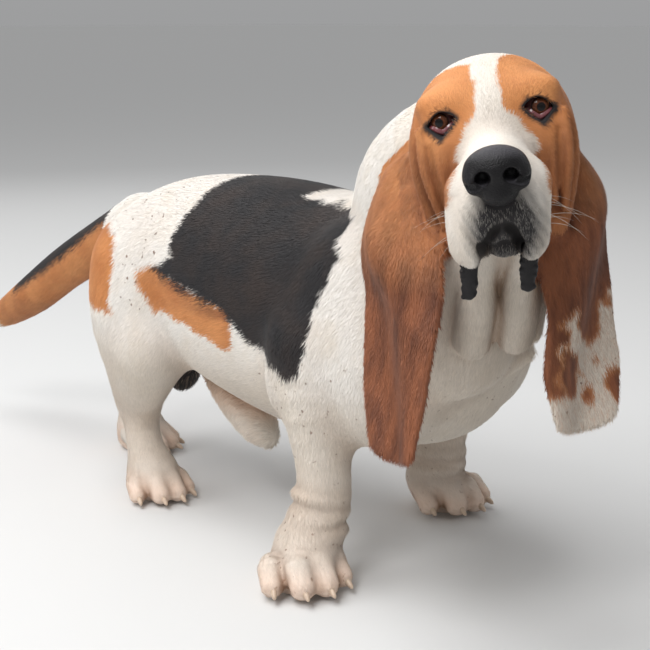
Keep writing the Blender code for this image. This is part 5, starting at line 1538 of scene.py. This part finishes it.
def tufts_of(name, chosen):
    """One piece of coat: all its blades in one mesh, with their masks and the map for baking."""
    p, n = roots[chosen], root_normals[chosen]
    kind = region[chosen]
    size = len(p)
    long = np.vectorize(LENGTHS.get)(kind) * rng.uniform(0.75, 1.25, size)
    wide = np.vectorize(WIDTHS.get)(kind) * rng.uniform(0.8, 1.2, size)
    rise = (coat_depth(p) + 0.0001) * rng.uniform(0.5, 1.05, size)
    way = lie_of_coat(p, n)
    aside = np.cross(n, way)
    turn = rng.normal(0, STRAY, size)[:, None]
    way = way * np.cos(turn) + aside * np.sin(turn)
    aside = np.cross(n, way)
    base = p - n * 0.0002
    half = aside * wide[:, None] / 2
    middle = base + way * (long * 0.5)[:, None] + n * (rise * 0.75)[:, None]
    tip = base + way * long[:, None] + n * rise[:, None]
    co = np.stack([base - half, base + half, middle + half * 0.8, middle - half * 0.8, tip], 1).reshape(-1, 3)
    co[:, 2] = np.maximum(co[:, 2], 0.0005)
    start = TUFT_POINTS * np.arange(size)[:, None]
    loops = np.concatenate([start + [0, 1, 2, 3], start + [3, 2, 4]], 1).ravel()
    mesh = bpy.data.meshes.new(name)
    mesh.vertices.add(len(co))
    mesh.loops.add(len(loops))
    mesh.polygons.add(2 * size)
    mesh.vertices.foreach_set("co", co.ravel())
    mesh.loops.foreach_set("vertex_index", loops)
    mesh.polygons.foreach_set("loop_start", (7 * np.arange(size)[:, None] + [0, 4]).ravel())
    mesh.update(calc_edges=True)
    keep_masks(mesh, tuft_masks(chosen))
    add_bake_map(mesh, p, n)
    return piece_of(name, mesh, coat_finish)


def tuft_masks(chosen):
    """Each tuft is all of one colour, so the edge of a marking is a mixture of hairs."""
    size = int(chosen.sum())
    mixed = {}
    for key, everywhere in masks.items():
        values = everywhere[chosen]
        if key in ("tan", "black"):
            # Stretched about the middle, so that hairs well inside or outside a marking keep one colour
            values = np.clip(1.6 * (values - 0.5) + 0.5 + rng.uniform(-0.30, 0.30, size), 0, 1)
        elif key == "chestnut":
            values = values * mixed["tan"][::TUFT_POINTS]
        elif key == "dark":
            values = np.clip(values * rng.uniform(0.75, 1.25, size), 0, 1)
        mixed[key] = np.repeat(values, TUFT_POINTS)
    mixed["shade"] = np.repeat(rng.random(size), TUFT_POINTS)
    return mixed


def add_bake_map(mesh, p, n):
    """Each tuft is a small patch at its root's place on one of six charts, by the way the skin faces."""
    facing = np.abs(n).argmax(1)
    chart = 2 * facing + (n[np.arange(len(n)), facing] > 0)
    low, high = p.min(0), p.max(0)
    inside = (p - low) / (high - low + 1e-9)
    first = np.choose(facing, [inside[:, 1], inside[:, 0], inside[:, 0]])
    second = np.choose(facing, [inside[:, 2], inside[:, 2], inside[:, 1]])
    corner = np.stack([(chart % 3 + 0.02 + 0.96 * first) / 3, (chart // 3 + 0.02 + 0.96 * second) / 2], 1)
    patch = 0.003 * np.array([(-0.5, -0.5), (0.5, -0.5), (0.4, 0.1), (-0.4, 0.1),
                              (-0.4, 0.1), (0.4, 0.1), (0, 0.5)])
    layer = mesh.uv_layers.new(name="OFBake")
    layer.data.foreach_set("uv", (corner[:, None] + patch[None]).astype(np.float32).ravel())


print("a tuft has", TUFT_POINTS, "points, and a piece of coat at most", MOST_TUFTS, "tufts")

# %% Pieces of coat
coat_finish, tree, shader = new_material("short coat", 0.66, Sheen_Weight=0.08, Specular_IOR_Level=0.35)
shade = ranged(tree, attribute_of(tree, "shade"), 0.0, 1.0, 0.90, 1.08)
paint(tree, shader, times(tree, coat_colour(tree), shade))

x, y, _ = roots.T
on_trunk, on_legs = region == "trunk", np.isin(region, ("legs", "paws"))
groups = {
    "coat_face": region == "face", "coat_ears": region == "ears", "coat_neck": region == "neck",
    "coat_flank_right": on_trunk & (x < 0) & (y < 0.2), "coat_flank_left": on_trunk & (x >= 0) & (y < 0.2),
    "coat_rump": on_trunk & (y >= 0.2), "coat_front_legs": on_legs & (y < 0.15),
    "coat_hind_legs": on_legs & (y >= 0.15), "coat_tail": region == "tail",
}
for name, chosen in groups.items():
    if chosen.sum() > MOST_TUFTS:
        chosen = chosen & (rng.random(len(chosen)) < MOST_TUFTS / chosen.sum())
    tufts_of(name, chosen)
    print(name, int(chosen.sum()), "tufts")

# %% [markdown]
# ## Whiskers
# A few long pale hairs stand out from the flews. A curve with a bevel could make them, but the same
# tube as for the claws does: each thins to a point and bends under its weight.

# %% Whiskers
WHISKER_RADIUS = 0.00022
# Height, place ahead and length of each
WHISKERS = ((-0.060, 0.052, 0.040), (-0.064, 0.060, 0.034), (-0.070, 0.044, 0.046), (-0.074, 0.056, 0.038),
            (-0.080, 0.042, 0.044), (-0.084, 0.052, 0.034), (-0.066, 0.036, 0.030), (-0.078, 0.062, 0.026))
whisker_finish, tree, shader = new_material("whisker", 0.35)
paint(tree, shader, mix_of(tree, noise_of(tree, 300, 1.0), (0.75, 0.70, 0.62), (0.30, 0.25, 0.20)))
t = np.linspace(0, 1, 9)
lines = []
for side in (-1, 1):
    for height, ahead, long in WHISKERS:
        start = on_head(side * 0.030, height, ahead)
        way = unit(side * LEFT * rng.uniform(0.8, 1.0) + BACKWARDS * rng.uniform(0.1, 0.5)
                   + UP * rng.uniform(-0.5, 0.3))
        lines.append(start + way * long * t[:, None] + np.array([0, 0, -0.35 * long]) * t[:, None] ** 2)
parts = [tube_mesh("whisker", line, WHISKER_RADIUS * (1 - 0.85 * t), 5) for line in lines]
bm = bmesh.new()
for part in parts:
    bm.from_mesh(part)
    bpy.data.meshes.remove(part)
whisker_mesh = bpy.data.meshes.new("whiskers")
bm.to_mesh(whisker_mesh)
bm.free()
piece_of("whiskers", whisker_mesh, whisker_finish)
print(len(lines), "whiskers")

# %% [markdown]
# ## Size
# The solids reach to the tips of the coat, so the dressed dog should fill the same box. Measuring
# both boxes shows it: a ruler on a render would do, but less exactly.

# %% Size and finish
visual_box = [list(corner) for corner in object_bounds()]
print("visual box", [[round(v, 4) for v in corner] for corner in visual_box])
